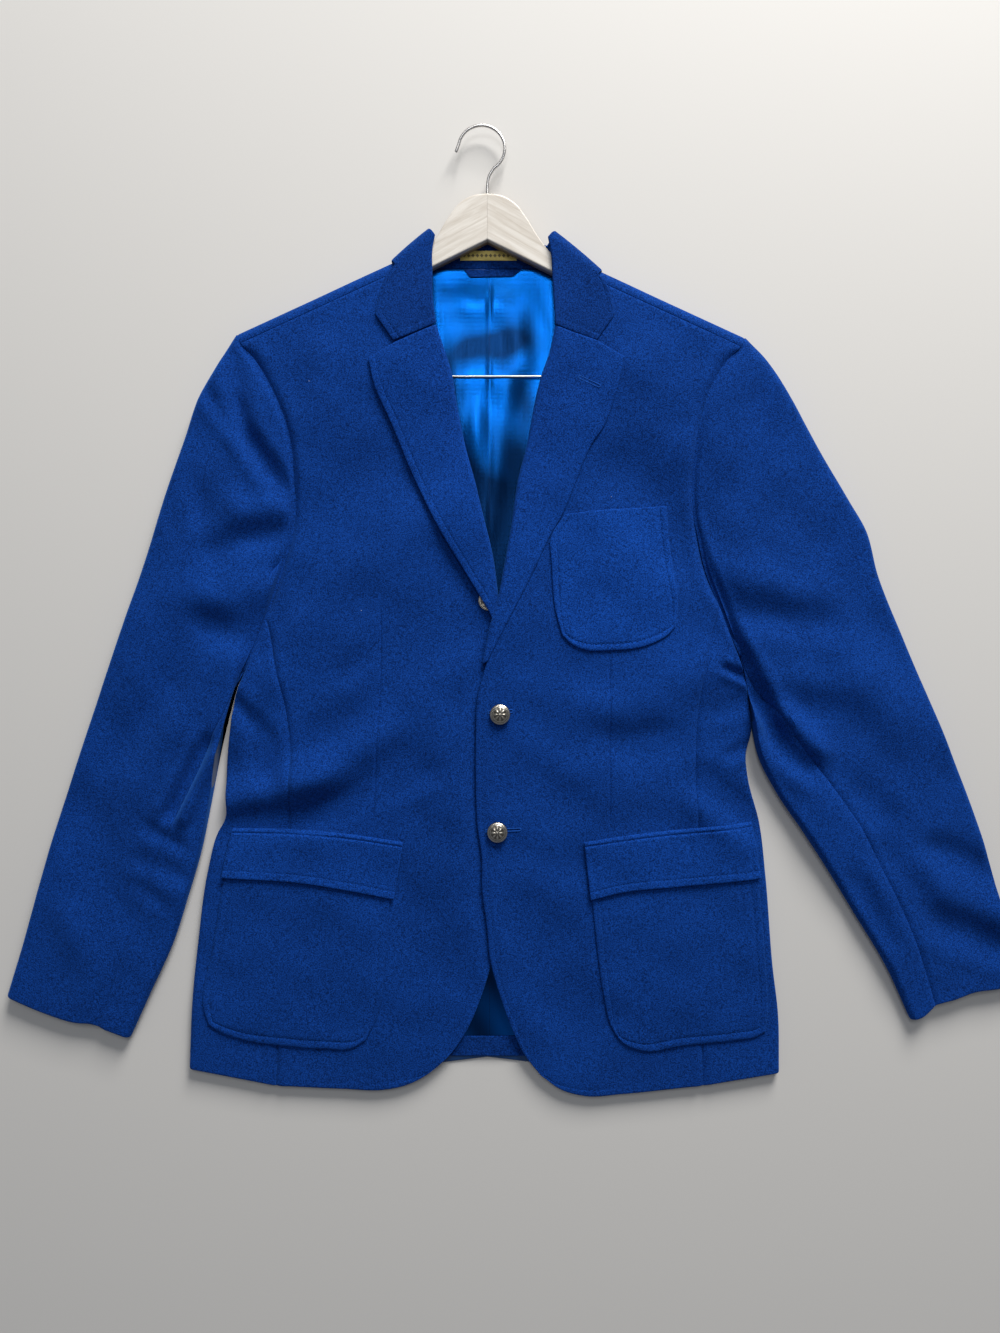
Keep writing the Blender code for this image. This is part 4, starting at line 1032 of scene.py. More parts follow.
def satin_inside():
    """The inside faces of body and sleeves: the same satin in its shade, with no attribute to read."""
    made, tree, shader = finish_start("blue_satin_inside", Roughness=0.4, Metallic=0.2)
    if tree is None:
        return made
    weave = placed_group(tree, weave_group(), Threads_per_metre=5200.0, Slub=0.5)
    colour = mixed(tree, weave.outputs["Mask"], (0.004, 0.030, 0.110, 1.0), (0.008, 0.060, 0.200, 1.0))
    tree.links.new(colour, shader.inputs["Base Color"])
    return made


def make_side(side):
    """Side body: run and height from the half-round fold at the side, between its two seams."""
    rows = graded(480, 4.0, (7.0,))
    seam = along(moved_in(curve(SIDE_SEAM[side], 300), side, -SEAM_GAP), rows)
    edge = along(curve(SIDE_FOLD[side], 300), rows)
    width = np.linalg.norm(edge - seam, axis=1)[:, None]
    radius = body_top(edge[:, 0], edge[:, 1]) / 2
    arc = radius * math.pi / 2
    reach = arc + width[:, 0] - radius
    above = ((1 - rows) * np.linalg.norm(np.diff(edge, axis=0), axis=1).sum())[:, None]
    girth = columns([-reach, -reach + 0.8, -reach + 2.0, -arc, arc, reach - 2.0, reach - 0.8, reach],
                    [1, 1, 12, 14, 14, 1, 1])

    def face(depth):
        run, share, drop = fold(girth, radius[:, None], depth)
        plan = edge[:, None] + (seam - edge)[:, None] * (run / width)[..., None]
        x, y = plan[..., 0], plan[..., 1]
        to_seam = np.maximum(width[:, :1] - run, 0.0)
        dip = seam_dip(to_seam, 1.0, 2.0) + seam_dip(above, 2.0, 3.2)
        top = body_top(x, y) + (body_relief(x, y) + dip) * smoothstep((share - 0.5) * 2)
        return on_plan(plan, top * share - drop)

    outer = face(0.0)
    piece = shell(f"side_panel_{side}", outer, face(SIDE_WALL), ("fold", "seam", "seam", "seam"), wool(),
                  satin_inside())
    return settle_wool(piece, f"side_{side}")


def make_front(side):
    """Front: a patch between front edge, roll, shoulder, armhole, side seam and hem, with a waist dart."""
    out = shoulder_out(side)
    inset = out * (SHOULDER_SEAM + 2 * SEAM_GAP)
    neck = np.array([SHOULDER_NECK[side], shoulder_line(SHOULDER_NECK[side])]) - inset
    tip = np.array(ARMHOLE[side][0]) - inset - [SIGN[side] * SEAM_GAP, 0]
    roll = moved_in(curve(ROLL[side], 96), side, -ROLL_INSET)
    edge = curve(FRONT_EDGE[side], 128)
    ease = smoothstep((np.arange(129) - 112) / 16.0)[:, None]
    edge = edge + (roll[0] - edge[-1]) * ease
    left = walk(edge, roll, np.linspace(roll[-1], neck, 49))
    seam = moved_in(curve(SIDE_SEAM[side], 160), side, SEAM_GAP)
    arm = moved_in(arm_points(side, np.linspace(ARMHOLE_SEAM_SHARE[side], 0.034, 113)), side, SEAM_GAP)
    arm = arm + (tip - arm[-1]) * smoothstep((np.arange(113) - 96) / 16.0)[:, None]
    right = walk(seam, arm)
    bottom = curve(HEM[side], 120)
    bottom[-1] = right[0]
    top = np.linspace(neck, tip, 120)
    dart, wide, margin = 0.55, 212, 6.2
    shares = graded(wide, 3.6, (margin,))
    at_dart = np.array([-2.6, -1.6, -0.9, -0.4, 0.0, 0.4, 0.9, 1.6, 2.6]) / wide
    shares = np.sort(np.concatenate([shares, dart + at_dart]))
    across, up = grid(shares, graded(776, 4.0, (margin,)))
    plan = patch(bottom, top, left, right, across, up)
    on_dart = table(DART[side], plan[:, plan.shape[1] // 2, 1])
    place = np.array([np.interp(SIGN[side] * at, SIGN[side] * row, shares)
                      for at, row in zip(on_dart, plan[..., 0])])[:, None]
    across = np.where(across < dart, across * place / dart, 1 - (1 - across) * (1 - place) / (1 - dart))
    plan = patch(bottom, top, left, right, across, up)
    x, y = plan[..., 0], plan[..., 1]
    height = front_top(side, x, y)
    span = {"left": (-208.0, -38.0), "right": (-204.0, 12.0)}[side]
    in_dart = smoothstep((y - span[0]) / 20) * smoothstep((span[1] - y) / 20)
    height = height - 1.0 * bell((across - place) * wide, 1.1) * in_dart
    lower, shoulder, front, far = edge_distances(on_plan(plan, height * 0))
    at_arm = smoothstep((y - ARMHOLE_FOOT[side] + 4) / 14.0)
    height = height + seam_dip(far, 1.3, 2.0) * (1 - at_arm)
    height = height + seam_dip(far, 2.4 + slit(side, y), 3.2) * at_arm * smoothstep(shoulder / 16)
    height = height + seam_dip(shoulder, 0.35, 1.6)
    below_break = smoothstep((-52 - y) / 8.0)
    height = height - 0.35 * bell(front, 0.8, margin) * below_break
    height = height - 0.30 * bell(lower, 0.8, margin) * smoothstep((90 - np.abs(front)) / 30)
    outer = on_plan(plan, height)
    inner = on_plan(plan, height - FRONT_WALL)
    piece = shell(f"front_panel_{side}", outer, inner, ("fold", "seam", "fold", "seam"), wool(),
                  satin_inside())
    column = int(np.argmin(np.abs(shares - margin / wide)))
    stitched = outer[(y[:, column] < -60) & (y[:, column] > -425), column]
    remember_run(stitched, 5.2)
    return settle_wool(piece, f"front_{side}")


def make_lapel(side):
    """Lapel: rolls over at its fold line and lies on the front, its edge stitched a little way in."""
    rows = graded(330, 3.6, (6.4,))
    first = 0 if side == "left" else 1
    roll = along(curve(ROLL[side], 300, first), rows)
    edge = along(curve(LAPEL_EDGE[side], 300), rows)
    corner = walk(curve(LAPEL_TOP[side][:2], 60), curve(LAPEL_TOP[side][1:], 60))
    width = np.linalg.norm(edge - roll, axis=1)
    arc = np.full(len(rows), ROLL_RADIUS * math.pi / 2)
    reach = np.maximum(arc + width - ROLL_RADIUS, arc + 0.6)
    near = np.array([9.0, 7.9, 7.1, 6.7, 6.4, 6.1, 5.7, 4.9, 3.8, 2.6, 1.6, 0.9, 0.4, 0.0])
    shrink = np.clip((reach - arc) / 13.0, 0.0, 1.0)[:, None]
    girth = np.hstack([columns([-arc * 0.55, arc, reach - near[0] * shrink[:, 0]], [12, 22]),
                       reach[:, None] - near[None, 1:] * shrink])
    shares = np.linspace(0, 1, 121)
    bow = corner - (corner[0] + (corner[-1] - corner[0]) * shares[:, None])
    rise = (rows ** 4)[:, None, None]

    def face(depth):
        run, share, drop = fold(girth, ROLL_RADIUS, depth)
        across = run / width[:, None]
        plan = roll[:, None] + (edge - roll)[:, None] * across[..., None] + along(bow, across) * rise
        x, y = plan[..., 0], plan[..., 1]
        base = body_top(x, y) + (front_top(side, x, y) - body_top(x, y)) * 0.9
        upper = base + PLY_GAP + LAPEL_WALL + table(LAPEL_LIFT[side], y)
        upper = upper + 0.8 * np.sin(np.clip(across, 0, 1) * math.pi) * smoothstep(rows[:, None] * 3)
        if side == "right":
            covered = smoothstep((x - left_front_line(y) + 5.0) / 5.0)
            below_front = np.minimum(upper, front_top("left", x, y) - FRONT_WALL - SHEET_GAP)
            upper = upper + (below_front - upper) * covered
        return on_plan(plan, upper - 2 * ROLL_RADIUS * (1 - share) - drop)

    outer, inner = face(0.0), face(LAPEL_WALL)
    from_edge = edge_distances(outer)[-1]
    groove = 0.45 * bell(from_edge, 0.8, 6.4) * smoothstep((shrink - 0.5) * 2)
    outer[..., 2] -= groove
    # The lapel takes a lighter copy of the wool: painted light
    piece = shell(f"lapel_facing_{side}", outer, inner, ("fold", "fold", "fold", "fold"), wool("painted_light"))
    column = girth.shape[1] - 1 - list(near[::-1]).index(6.4)
    stitched = outer[(shrink[:, 0] > 0.7), column]
    remember_run(stitched[:-8], 5.0)
    return settle_wool(piece, f"lapel_{side}")


def collar_rows():
    """Rows from the left end, over the shoulder, behind the neck and to the right end: roll, edge,
    crease, turn.
    """
    parts = []
    for side in SIDES:
        share = graded(100, 3.0, (6.2,))
        share = np.concatenate([share[:-5], [1.0]])
        roll = along(curve(COLLAR_ROLL[side], 120), share)
        edge = along(walk(curve(COLLAR_END[side], 40), curve(COLLAR_EDGE[side], 80)), share)
        count = len(share)
        turns = np.linspace(math.pi / 2, -math.pi / 2, 19)[1:]
        roll = np.vstack([roll, np.repeat(roll[-1:], 18, 0)])
        edge = np.vstack([edge, np.repeat(edge[-1:], 18, 0)])
        crease = np.repeat(np.array([COLLAR_CREASE[side]]), count + 18, 0)
        turn = np.concatenate([np.full(count, math.pi / 2), turns])
        parts.append([roll, edge, crease, turn])
    back_roll, back_edge = curve(COLLAR_BACK_ROLL, 40)[1:-1], curve(COLLAR_BACK_EDGE, 40)[1:-1]
    back = [back_roll, back_edge, np.zeros((39, 2)), np.full(39, -math.pi / 2)]
    right = [array[::-1] for array in parts[1]]
    return [np.concatenate([a, b, c]) for a, b, c in zip(parts[0], back, right)]


def make_collar():
    """Collar: its roll and fall along the neck, turned half round over each shoulder at a crease."""
    roll, edge, crease, turn = collar_rows()
    on_top = (turn > math.pi / 2 - 0.01)[:, None]
    behind = np.linalg.norm(crease, axis=1) < 0.5
    radius = COLLAR_ROLL_RADIUS
    width = np.linalg.norm(edge - roll, axis=1)
    arc = np.full(len(roll), radius * math.pi / 2)
    tuck = np.where(behind, arc + 3.0, arc * 0.5)
    near = np.array([9.0, 7.6, 6.9, 6.5, 6.2, 5.9, 5.5, 4.8, 3.6, 2.6, 1.6, 0.9, 0.4, 0.0])
    reach = arc + width - radius
    shrink = np.clip((reach - arc) / 13.0, 0.0, 1.0)
    girth = np.hstack([columns([-tuck, arc, reach - near[0] * shrink], [12, 12]),
                       reach[:, None] - near[None, 1:] * shrink[:, None]])
    front_rows = np.cumsum(on_top[:, 0])
    place = np.minimum(front_rows, front_rows[-1] - front_rows) / on_top[:, 0].sum() * 14
    lean = smoothstep((place - 3) / 3.0)[:, None]
    lean = np.where(on_top, lean, 1.0)

    def face(depth):
        run, share, drop = fold(girth, radius, depth)
        plan = roll[:, None] + (edge - roll)[:, None] * (run / width[:, None])[..., None]
        x, y = plan[..., 0], plan[..., 1]
        puff = COLLAR_PUFF * bell(run, 12.0) * np.clip((360.0 - y) / 90.0, 0, 1)
        upper = body_top(x, np.minimum(y, 318.0)) + PLY_GAP + COLLAR_WALL + puff
        upper = upper + (2 * CREASE_RADIUS - upper) * lean
        below = 2 * radius * (1 - share) + drop
        turned = CREASE_RADIUS + (CREASE_RADIUS - below) * np.sin(turn)[:, None]
        hug = COLLAR_HUG * np.clip(run / width[:, None], 0, 1) ** 2
        swing = (CREASE_RADIUS - below - hug) * np.cos(turn)[:, None]
        plan = plan + crease[:, None] * swing[..., None]
        return on_plan(plan, np.where(on_top, upper - below, turned))

    outer, inner = face(0.0), face(COLLAR_WALL)
    start, finish, _, from_edge = edge_distances(outer)
    ends = np.minimum(start, finish)
    groove = 0.4 * (bell(from_edge, 0.8, 6.2) + bell(ends, 0.8, 6.2))
    outer[..., 2] -= np.where(on_top, groove, 0.0)
    # The collar takes the darker copy of the wool: painted shade
    piece = shell("collar_roll", outer, inner, ("fold", "fold", "fold", "fold"), wool("shade"))
    column = girth.shape[1] - 1 - list(near[::-1]).index(6.2)
    count = int(on_top.sum() / 2)
    remember_run(outer[8:count, column], 5.0)
    remember_run(outer[-count:-8, column], 5.0)
    return settle_wool(piece, "collar")


def make_collar_stand():
    """Inside of the collar behind the neck: a flat band from the neck seam to the roll."""
    top = curve([(30, 348), (-24, 351.5), (-68, 349.5)], 60)
    bottom = np.linspace([30, NECK_EDGE + 0.2], [-78, NECK_EDGE + 0.2], 61)
    left, right = np.linspace(bottom[0], top[0], 9), np.linspace(bottom[-1], top[-1], 9)
    across, up = grid(graded(108, 4.0), graded(21, 2.0))
    plan = patch(bottom, top, left, right, across, up)
    base = np.full(plan.shape[:2], 2 * COLLAR_ROLL_RADIUS - COLLAR_WALL)
    # The band takes the darker copy of the wool: painted shade
    piece = shell("collar_band", on_plan(plan, base + COLLAR_WALL), on_plan(plan, base),
                  ("seam", "seam", "seam", "seam"), wool("shade"))
    return settle(piece, "collar_stand")


def sleeve_plan(side, across, down, outer, inner):
    """Plan of the sleeve: straight between its two folds, bent to the armhole by (1 - v)^2 and to the
    cuff by v^3.
    """
    arm = moved_in(curve(ARMHOLE[side], 240), side, -SEAM_GAP)
    cuff = curve(CUFF[side], 240)
    flat = outer[:, None] + (inner - outer)[:, None] * across[..., None]

    def bow(line, start, end):
        return along(line, across) - (start + (end - start) * across[..., None])

    return (flat + bow(arm, outer[0], inner[0]) * ((1 - down) ** 2)[..., None]
            + bow(cuff, outer[-1], inner[-1]) * (down ** 3)[..., None])


def make_sleeve(side):
    """Two-piece sleeve: each piece wraps one fold and reaches to the forearm seam above and elbow seam
    below.
    """
    down = graded(SLEEVE_RUN, 4.2, (7.0,))
    outer_line = along(curve(SLEEVE_OUTER[side], 400), down)
    inner_line = along(curve(SLEEVE_INNER[side], 400), down)
    outer_line[0] = np.array(ARMHOLE[side][0]) + [SIGN[side] * SEAM_GAP, 0]
    inner_line[0] = np.array(ARMHOLE[side][-1]) + [SIGN[side] * SEAM_GAP, 0]
    width = np.linalg.norm(inner_line - outer_line, axis=1)
    forearm = table(FOREARM_SEAM, down)
    gap = 2 * SEAM_GAP / width
    for kind, line, top_share, low_share in (
        ("top", outer_line, forearm - gap, ELBOW_SEAM - gap),
        ("under", inner_line, 1 - forearm - gap, 1 - ELBOW_SEAM - gap),
    ):
        radius = sleeve_loft(line[:, 0], line[:, 1], down) / 2
        arc = radius * math.pi / 2
        high = np.maximum(arc + top_share * width - radius, arc + 1.5)
        low = arc + low_share * width - radius
        steps = [1, 1, 22, 16, 34, 1, 1] if kind == "top" else [1, 1, 30, 16, 14, 1, 1]
        ease = np.minimum(2.0, (high - arc) * 0.5)
        girth = columns([-low, -low + 0.8, -low + 2.0, -arc, arc, high - ease, high - ease * 0.4, high],
                        steps)

        def face(depth):
            run, share, drop = fold(girth, radius[:, None], depth)
            across = run / width[:, None]
            across = 1 - across if kind == "under" else across
            level = np.repeat(down[:, None], across.shape[1], axis=1)
            plan = sleeve_plan(side, across, level, outer_line, inner_line)
            x, y = plan[..., 0], plan[..., 1]
            base = sleeve_loft(x, y, level)
            at_arm = seam_dip(level * SLEEVE_RUN, 2.4 + slit(side, y),
                              3.4) * smoothstep((girth - 9.0) / 16.0)
            relief = sleeve_top(side, x, y, level) - base + at_arm + seam_dip(high[:, None] - girth, 0.8,
                                                                              2.0)
            return on_plan(plan, base * share + relief * smoothstep((share - 0.5) * 2) - drop)

        outer = face(0.0)
        piece = shell(f"{kind}_sleeve_panel_{side}", outer, face(SLEEVE_WALL),
                      ("seam", "fold", "seam", "seam"),
                      wool(), satin_inside())
        settle_wool(piece, f"{kind}_sleeve_{side}")


# ---------------------------------------------------------------- pockets, inside

def outline(edges):
    """The four sides of a pocket or flap as smooth curves."""
    return [curve(edges[key], 160) for key in ("bottom", "top", "left", "right")]


def make_pocket(name):
    """Patch pocket: a patch on the front, with a stitched band inside its sides and bottom."""
    side = "right" if name.endswith("right") else "left"
    big = name != "chest_pocket"
    inset = 7.2 if big else 6.6
    wide, tall = (165, 185) if big else (115, 125)
    across, up = grid(graded(wide, 3.0, (inset,)), graded(tall, 3.0, (inset,)))
    plan = patch(*outline(POCKET[name]), across, up)
    x, y = plan[..., 0], plan[..., 1]
    top = front_top(side, x, y) + PLY_GAP
    outer = on_plan(plan, top + POCKET_WALL)
    low, high, near, far = edge_distances(on_plan(plan, top * 0))
    closest = np.minimum(np.minimum(low, near), far)
    cushion = 0.35 * bell(closest, 2.2, 3.4)
    groove = 0.62 * bell(closest, 0.85, inset) * smoothstep((high - 3) / 6)
    hem_line = 0.25 * bell(high, 1.6, 22.0) * (0 if big else 1)
    outer[..., 2] += cushion - groove - hem_line
    # The chest pocket takes the lightest copy of the wool, a painted highlight; the hip pockets take the
    # body's wool
    piece = shell(f"{name}_patch", outer, on_plan(plan, top), ("fold", "fold", "fold", "fold"),
                  wool() if big else wool("painted_highlight"), radius=1.6)
    shares_u, shares_v = across[0], up[:, 0]
    left = int(np.argmin(np.abs(shares_u * wide - inset)))
    row = int(np.argmin(np.abs(shares_v * tall - inset)))
    cols = len(shares_u)
    rows = slice(row, len(shares_v) - (2 if not big else 12))
    remember_run(outer[rows, left])
    remember_run(outer[rows, cols - 1 - left])
    remember_run(outer[row, left:cols - left])
    return settle_wool(piece, name)


def make_flap(name):
    """Flap: sewn in at its top, it climbs onto the pocket; a welt line at the top and a stitched band
    all round.
    """
    side = "right" if name.endswith("right") else "left"
    wide, tall, end_margin, margin = 166, 54, 5.4, 7.4
    across, up = grid(graded(wide, 3.0, (end_margin,)), graded(tall, 2.0, (4.0, margin)))
    plan = patch(*outline(FLAP[name]), across, up)
    x, y = plan[..., 0], plan[..., 1]
    low, high, near, far = edge_distances(on_plan(plan, x * 0))
    climb = (POCKET_WALL + PLY_GAP) * smoothstep(high / FLAP_RAMP)
    top = front_top(side, x, y) + PLY_GAP + climb
    ends = np.minimum(near, far)
    groove = 0.5 * (bell(low, 0.8, margin) + bell(ends, 0.8, end_margin) * 0.5)
    welt = 0.9 * bell(high, 1.6, 1.8) - 0.9 * bell(high, 0.9, 4.6)
    flare = 0.9 * smoothstep((14 - low) / 14.0)
    outer = on_plan(plan, top + FLAP_WALL + welt - groove + flare)
    # The flap takes a lighter copy of the wool: painted light
    piece = shell(f"{name}_cloth", outer, on_plan(plan, top + flare * 0.8), ("fold", "fold", "fold", "fold"),
                  wool("painted_light"), radius=1.6)
    row = int(np.argmin(np.abs(up[:, 0] * tall - margin)))
    column = int(np.argmin(np.abs(across[0] * wide - end_margin)))
    cols = across.shape[1]
    remember_run(outer[row, column:cols - column], 3.4)
    return settle_wool(piece, name)


def make_lining(side):
    """Back lining: a flat half with soft swells, and a pleat fold down its centre seam."""
    near_x = NECK_X + 2.0 + SIGN[side] * 0.1
    up = graded(734, 3.2)
    rows = LINING_HEM + (LINING_TOP - LINING_HEM) * up
    half = LINING_HALF + (LINING_HALF_TOP - LINING_HALF) * smoothstep((rows - 245) / 65)
    across = graded(96, 2.4)
    reach = (NECK_X + SIGN[side] * half - near_x)[:, None]
    x = near_x + reach * across[None]
    y = np.repeat(rows[:, None], len(across), axis=1)
    plan = np.dstack([x, y])
    swell = mounds(x, y, LINING_SWELLS)
    fine = 0.16 * np.sin(x * 0.21 + 1.6 * np.sin(y * 0.045) + 0.01 * y) * smoothstep((y - 20) / 60)
    seam = 0.72 + 0.28 * smoothstep(np.abs(x - near_x) / 4.0)
    swell = (swell + 0.16 + fine) * smoothstep((328 - y) / 24) * seam
    swell = swell * smoothstep((half[:, None] - np.abs(x - NECK_X)) / 8.0)
    base = lining_rise(y) + BACK_WALL + SHEET_GAP
    outer = on_plan(plan, base + LINING_WALL + np.maximum(swell, 0.0))
    piece = shell(f"back_lining_{side}", outer, on_plan(plan, base + np.maximum(swell, 0.0) * 0.8),
                  ("fold", "seam", None, "seam"), satin())
    # Painted shade and painted highlight of the satin: the mounds and a slow wave give each point a mark,
    # bright at 0 and dark at 1, for the satin's base colour
    shade = PAINTED_SHADE_STRENGTH * mounds(x, y, PAINTED_SATIN_SHADES)
    shade = np.clip(shade + 0.35 * np.sin(x * 0.11 + y * 0.05) * np.sin(y * 0.045 + 1.0), 0.0, 1.0)
    mark_points(piece, "shade", np.tile(shade.ravel(), 2))
    return settle(piece, f"lining_{side}")


def flat_strip(name, node, corners, base, wall, finish):
    """Four-cornered flat strip, from its bottom left, bottom right, top left and top right corners.
    """
    points = np.array(corners, float)
    wide, tall = np.linalg.norm(points[1] - points[0]), np.linalg.norm(points[2] - points[0])
    across, up = grid(graded(wide, 3.0), graded(tall, 2.0))
    lines = [np.linspace(points[a], points[b], 9) for a, b in ((0, 1), (2, 3), (0, 2), (1, 3))]
    plan = patch(*lines, across, up)
    height = np.full(plan.shape[:2], base)
    piece = shell(name, on_plan(plan, height + wall), on_plan(plan, height), ("fold",) * 4, finish,
                  radius=1.0)
    return settle(piece, node)


# ---------------------------------------------------------------- metal and wood

def make_button(name, x, y, stand, diameter, dome):
    """Domed button: height over a polar grid = dome (1 - (r/R)^2) + a rope rim + an eight-petalled
    rosette.
    """
    side = "right" if name == "button_roll" else "left"
    base = float(front_top(side, np.array(x), np.array(y))) + SHEET_GAP
    half = diameter / 2
    count = 112
    radii = np.concatenate([[0.02], np.linspace(0.04, 0.74, 22), np.linspace(0.76, 1.0, 14)]) * half
    angle = np.arange(count) * 2 * math.pi / count
    r, a = np.meshgrid(radii, angle, indexing="ij")
    s = r / half
    bowl = (dome - 1.1) * (1 - s ** 2) ** 0.8
    petals = 0.42 * bell(s, 0.20, 0.40) * (0.5 + 0.5 * np.cos(8 * a)) ** 1.5
    centre = 0.45 * bell(s, 0.10)
    ring = 0.34 * bell(s, 0.035, 0.70)
    rope = 0.46 * bell(s, 0.07, 0.86) * (0.62 + 0.38 * np.cos(36 * a + 9 * s))
    lip = 0.30 * bell(s, 0.03, 0.955)
    relief = petals + centre + ring + rope + lip
    z = base + stand + 1.1 + bowl * 0.98 + relief - 0.45 * smoothstep((s - 0.965) / 0.035)
    top = np.dstack([x + r * np.cos(a), y + r * np.sin(a), z])
    skirt = [(half, stand + 0.5), (half - 0.5, stand + 0.05), (half * 0.6, stand)]
    skirt += [(2.2, stand), (2.2, 0.0), (0.05, 0.0)] if stand > 1 else [(half * 0.3, stand), (0.05, stand)]
    rings = [np.column_stack([x + q * np.cos(angle), y + q * np.sin(angle), np.full(count, base + h)])
             for q, h in skirt]
    points = np.concatenate([top, np.array(rings)])
    number = np.arange(points.shape[0] * count).reshape(-1, count)
    nxt = np.roll(number, -1, axis=1)
    faces = np.stack([number[:-1], number[1:], nxt[1:], nxt[:-1]], axis=-1).reshape(-1, 4)
    fan = np.arange(1, count - 2, 2)
    zero = np.zeros_like(fan)
    caps = [np.stack([number[0][zero], number[0][fan], number[0][fan + 1], number[0][fan + 2]], axis=-1),
            np.stack([number[-1][zero], number[-1][fan + 2], number[-1][fan + 1], number[-1][fan]], axis=-1)]
    finish = metal("antique_button", (0.66, 0.61, 0.52, 1.0), (0.075, 0.064, 0.050, 1.0), 520.0, 0.42)
    piece = mesh_object(f"{name}_dome", points.reshape(-1, 3), np.vstack([faces] + caps), [finish])
    hollow = np.concatenate([np.clip(1.0 - relief / 0.34, 0, 1).ravel(), np.ones(len(skirt) * count)])
    mark_points(piece, "hollow", hollow)
    return seat(piece, name)


def make_arm(side):
    """Hanger arm: a flat piece between its crest and its sole, both faces eased at their edges."""
    crest = [(0.05, 395), (14, 393), (26, 386), (37, 372), (48, 354), (62, 337), (84, 325), (144, 298),
             (190, 277),
             (203, 268)]
    sole = [(0.05, 351), (26, 338.3), (40, 331.4), (54, 324.5), (66, 318.7), (84, 309.8), (144, 280.4),
            (186, 260),
            (200, 257)]
    place = np.array([NECK_X, 0.0])
    flip = np.array([SIGN[side], 1.0])
    top = curve(crest, 200) * flip + place
    low = curve(sole, 200) * flip + place
    across, up = grid(graded(240, 3.0), graded(40, 2.0))
    plan = patch(low, top, np.linspace(low[0], top[0], 5), np.linspace(low[-1], top[-1], 5), across, up)
    outer = on_plan(plan, np.full(plan.shape[:2], ARM_UNDER + ARM_DEPTH))
    inner = on_plan(plan, np.full(plan.shape[:2], ARM_UNDER))
    below, above, near, far = edge_distances(outer)
    eased = np.minimum(np.minimum(below, above), np.minimum(far, near * 3 + 1.4))
    kept = 0.84 + 0.16 * np.sqrt(1 - (1 - np.clip(eased / 1.9, 0, 1)) ** 2)
    middle = (outer + inner) / 2
    outer, inner = middle + (outer - middle) * kept[..., None], middle + (inner - middle) * kept[..., None]
    piece = shell(f"arm_{side}", outer, inner, (None,) * 4, pale_wood())
    return seat(piece, f"hanger_arm_{side}")


def make_wire(name, node, path, z, radius):
    """Round steel wire carried along a flat path."""
    line = np.column_stack([path, np.full(len(path), z)])
    points, faces = tube(line, radius, 16)
    finish = metal("bright_steel", (0.66, 0.64, 0.62, 1.0), (0.30, 0.27, 0.24, 1.0), 160.0, 0.35)
    piece = mesh_object(name, points, faces, [finish])
    return seat(piece, node)


def hook_path():
    """Stem up from the wood, then three quarters round a 22 mm bend to a short tip."""
    angles = np.radians(np.linspace(-58, 168, 60))
    bow = np.array([-29.5, 440.0]) + 22.0 * np.column_stack([np.cos(angles), np.sin(angles)])
    stem = curve([(NECK_X, 395.6), (NECK_X, 404), (-22.5, 413), tuple(bow[0])], 20)
    return walk(stem, bow, np.linspace(bow[-1], bow[-1] + [-2.5, -7.0], 6))


def bar_wires():
    """Straight bar between two short upright ends that reach up to the arms."""
    make_wire("bar_wire", "trouser_bar",
              np.linspace([NECK_X - BAR_SPAN - BAR_WIRE, BAR_Y], [NECK_X + BAR_SPAN + BAR_WIRE, BAR_Y], 20),
              BAR_Z, BAR_WIRE)
    for side in ("left", "right"):
        x = NECK_X + SIGN[side] * BAR_SPAN
        make_wire(f"bar_end_wire_{side}", f"trouser_bar_end_{side}",
                  np.linspace([x, BAR_Y + BAR_WIRE + 0.1], [x, BAR_END_TOP], 6), BAR_Z, BAR_WIRE)


def thread_piece(name, points, faces):
    """Thread sewn to the wool, which stands for no node."""
    return seat(mesh_object(name, points, faces, [thread()]))


def buttonhole(name, start, end, z, half_width=1.3, radius=0.55):
    """Worked buttonhole: a rope of thread round a long slot, and a bar tack at its inner end."""
    start, end = np.array(start, float), np.array(end, float)
    way = (end - start) / np.linalg.norm(end - start)
    aside = np.array([-way[1], way[0]])
    turn = np.linspace(-math.pi / 2, math.pi / 2, 9)
    cap = half_width * (np.cos(turn)[:, None] * way + np.sin(turn)[:, None] * aside)
    ring = np.vstack([end + cap, start - cap])
    full = []
    for a, b in zip(ring, np.roll(ring, -1, axis=0)):
        steps = max(int(np.linalg.norm(b - a) / 1.0), 1)
        full.append(np.linspace(a, b, steps + 1)[:-1])
    path = np.vstack(full)
    line = np.column_stack([path, z(path[:, 0], path[:, 1])])
    rope, faces = tube(line, radius, 8, closed=True)
    tack = np.linspace(start - way * 1.6 - aside * 1.8, start - way * 1.6 + aside * 1.8, 8)
    bar, bar_faces = tube(np.column_stack([tack, z(tack[:, 0], tack[:, 1])]), 0.5, 8)
    points = np.vstack([rope, bar])
    return thread_piece(name, points, np.vstack([faces, bar_faces + len(rope)]))


# ---------------------------------------------------------------- settings, operators, panel

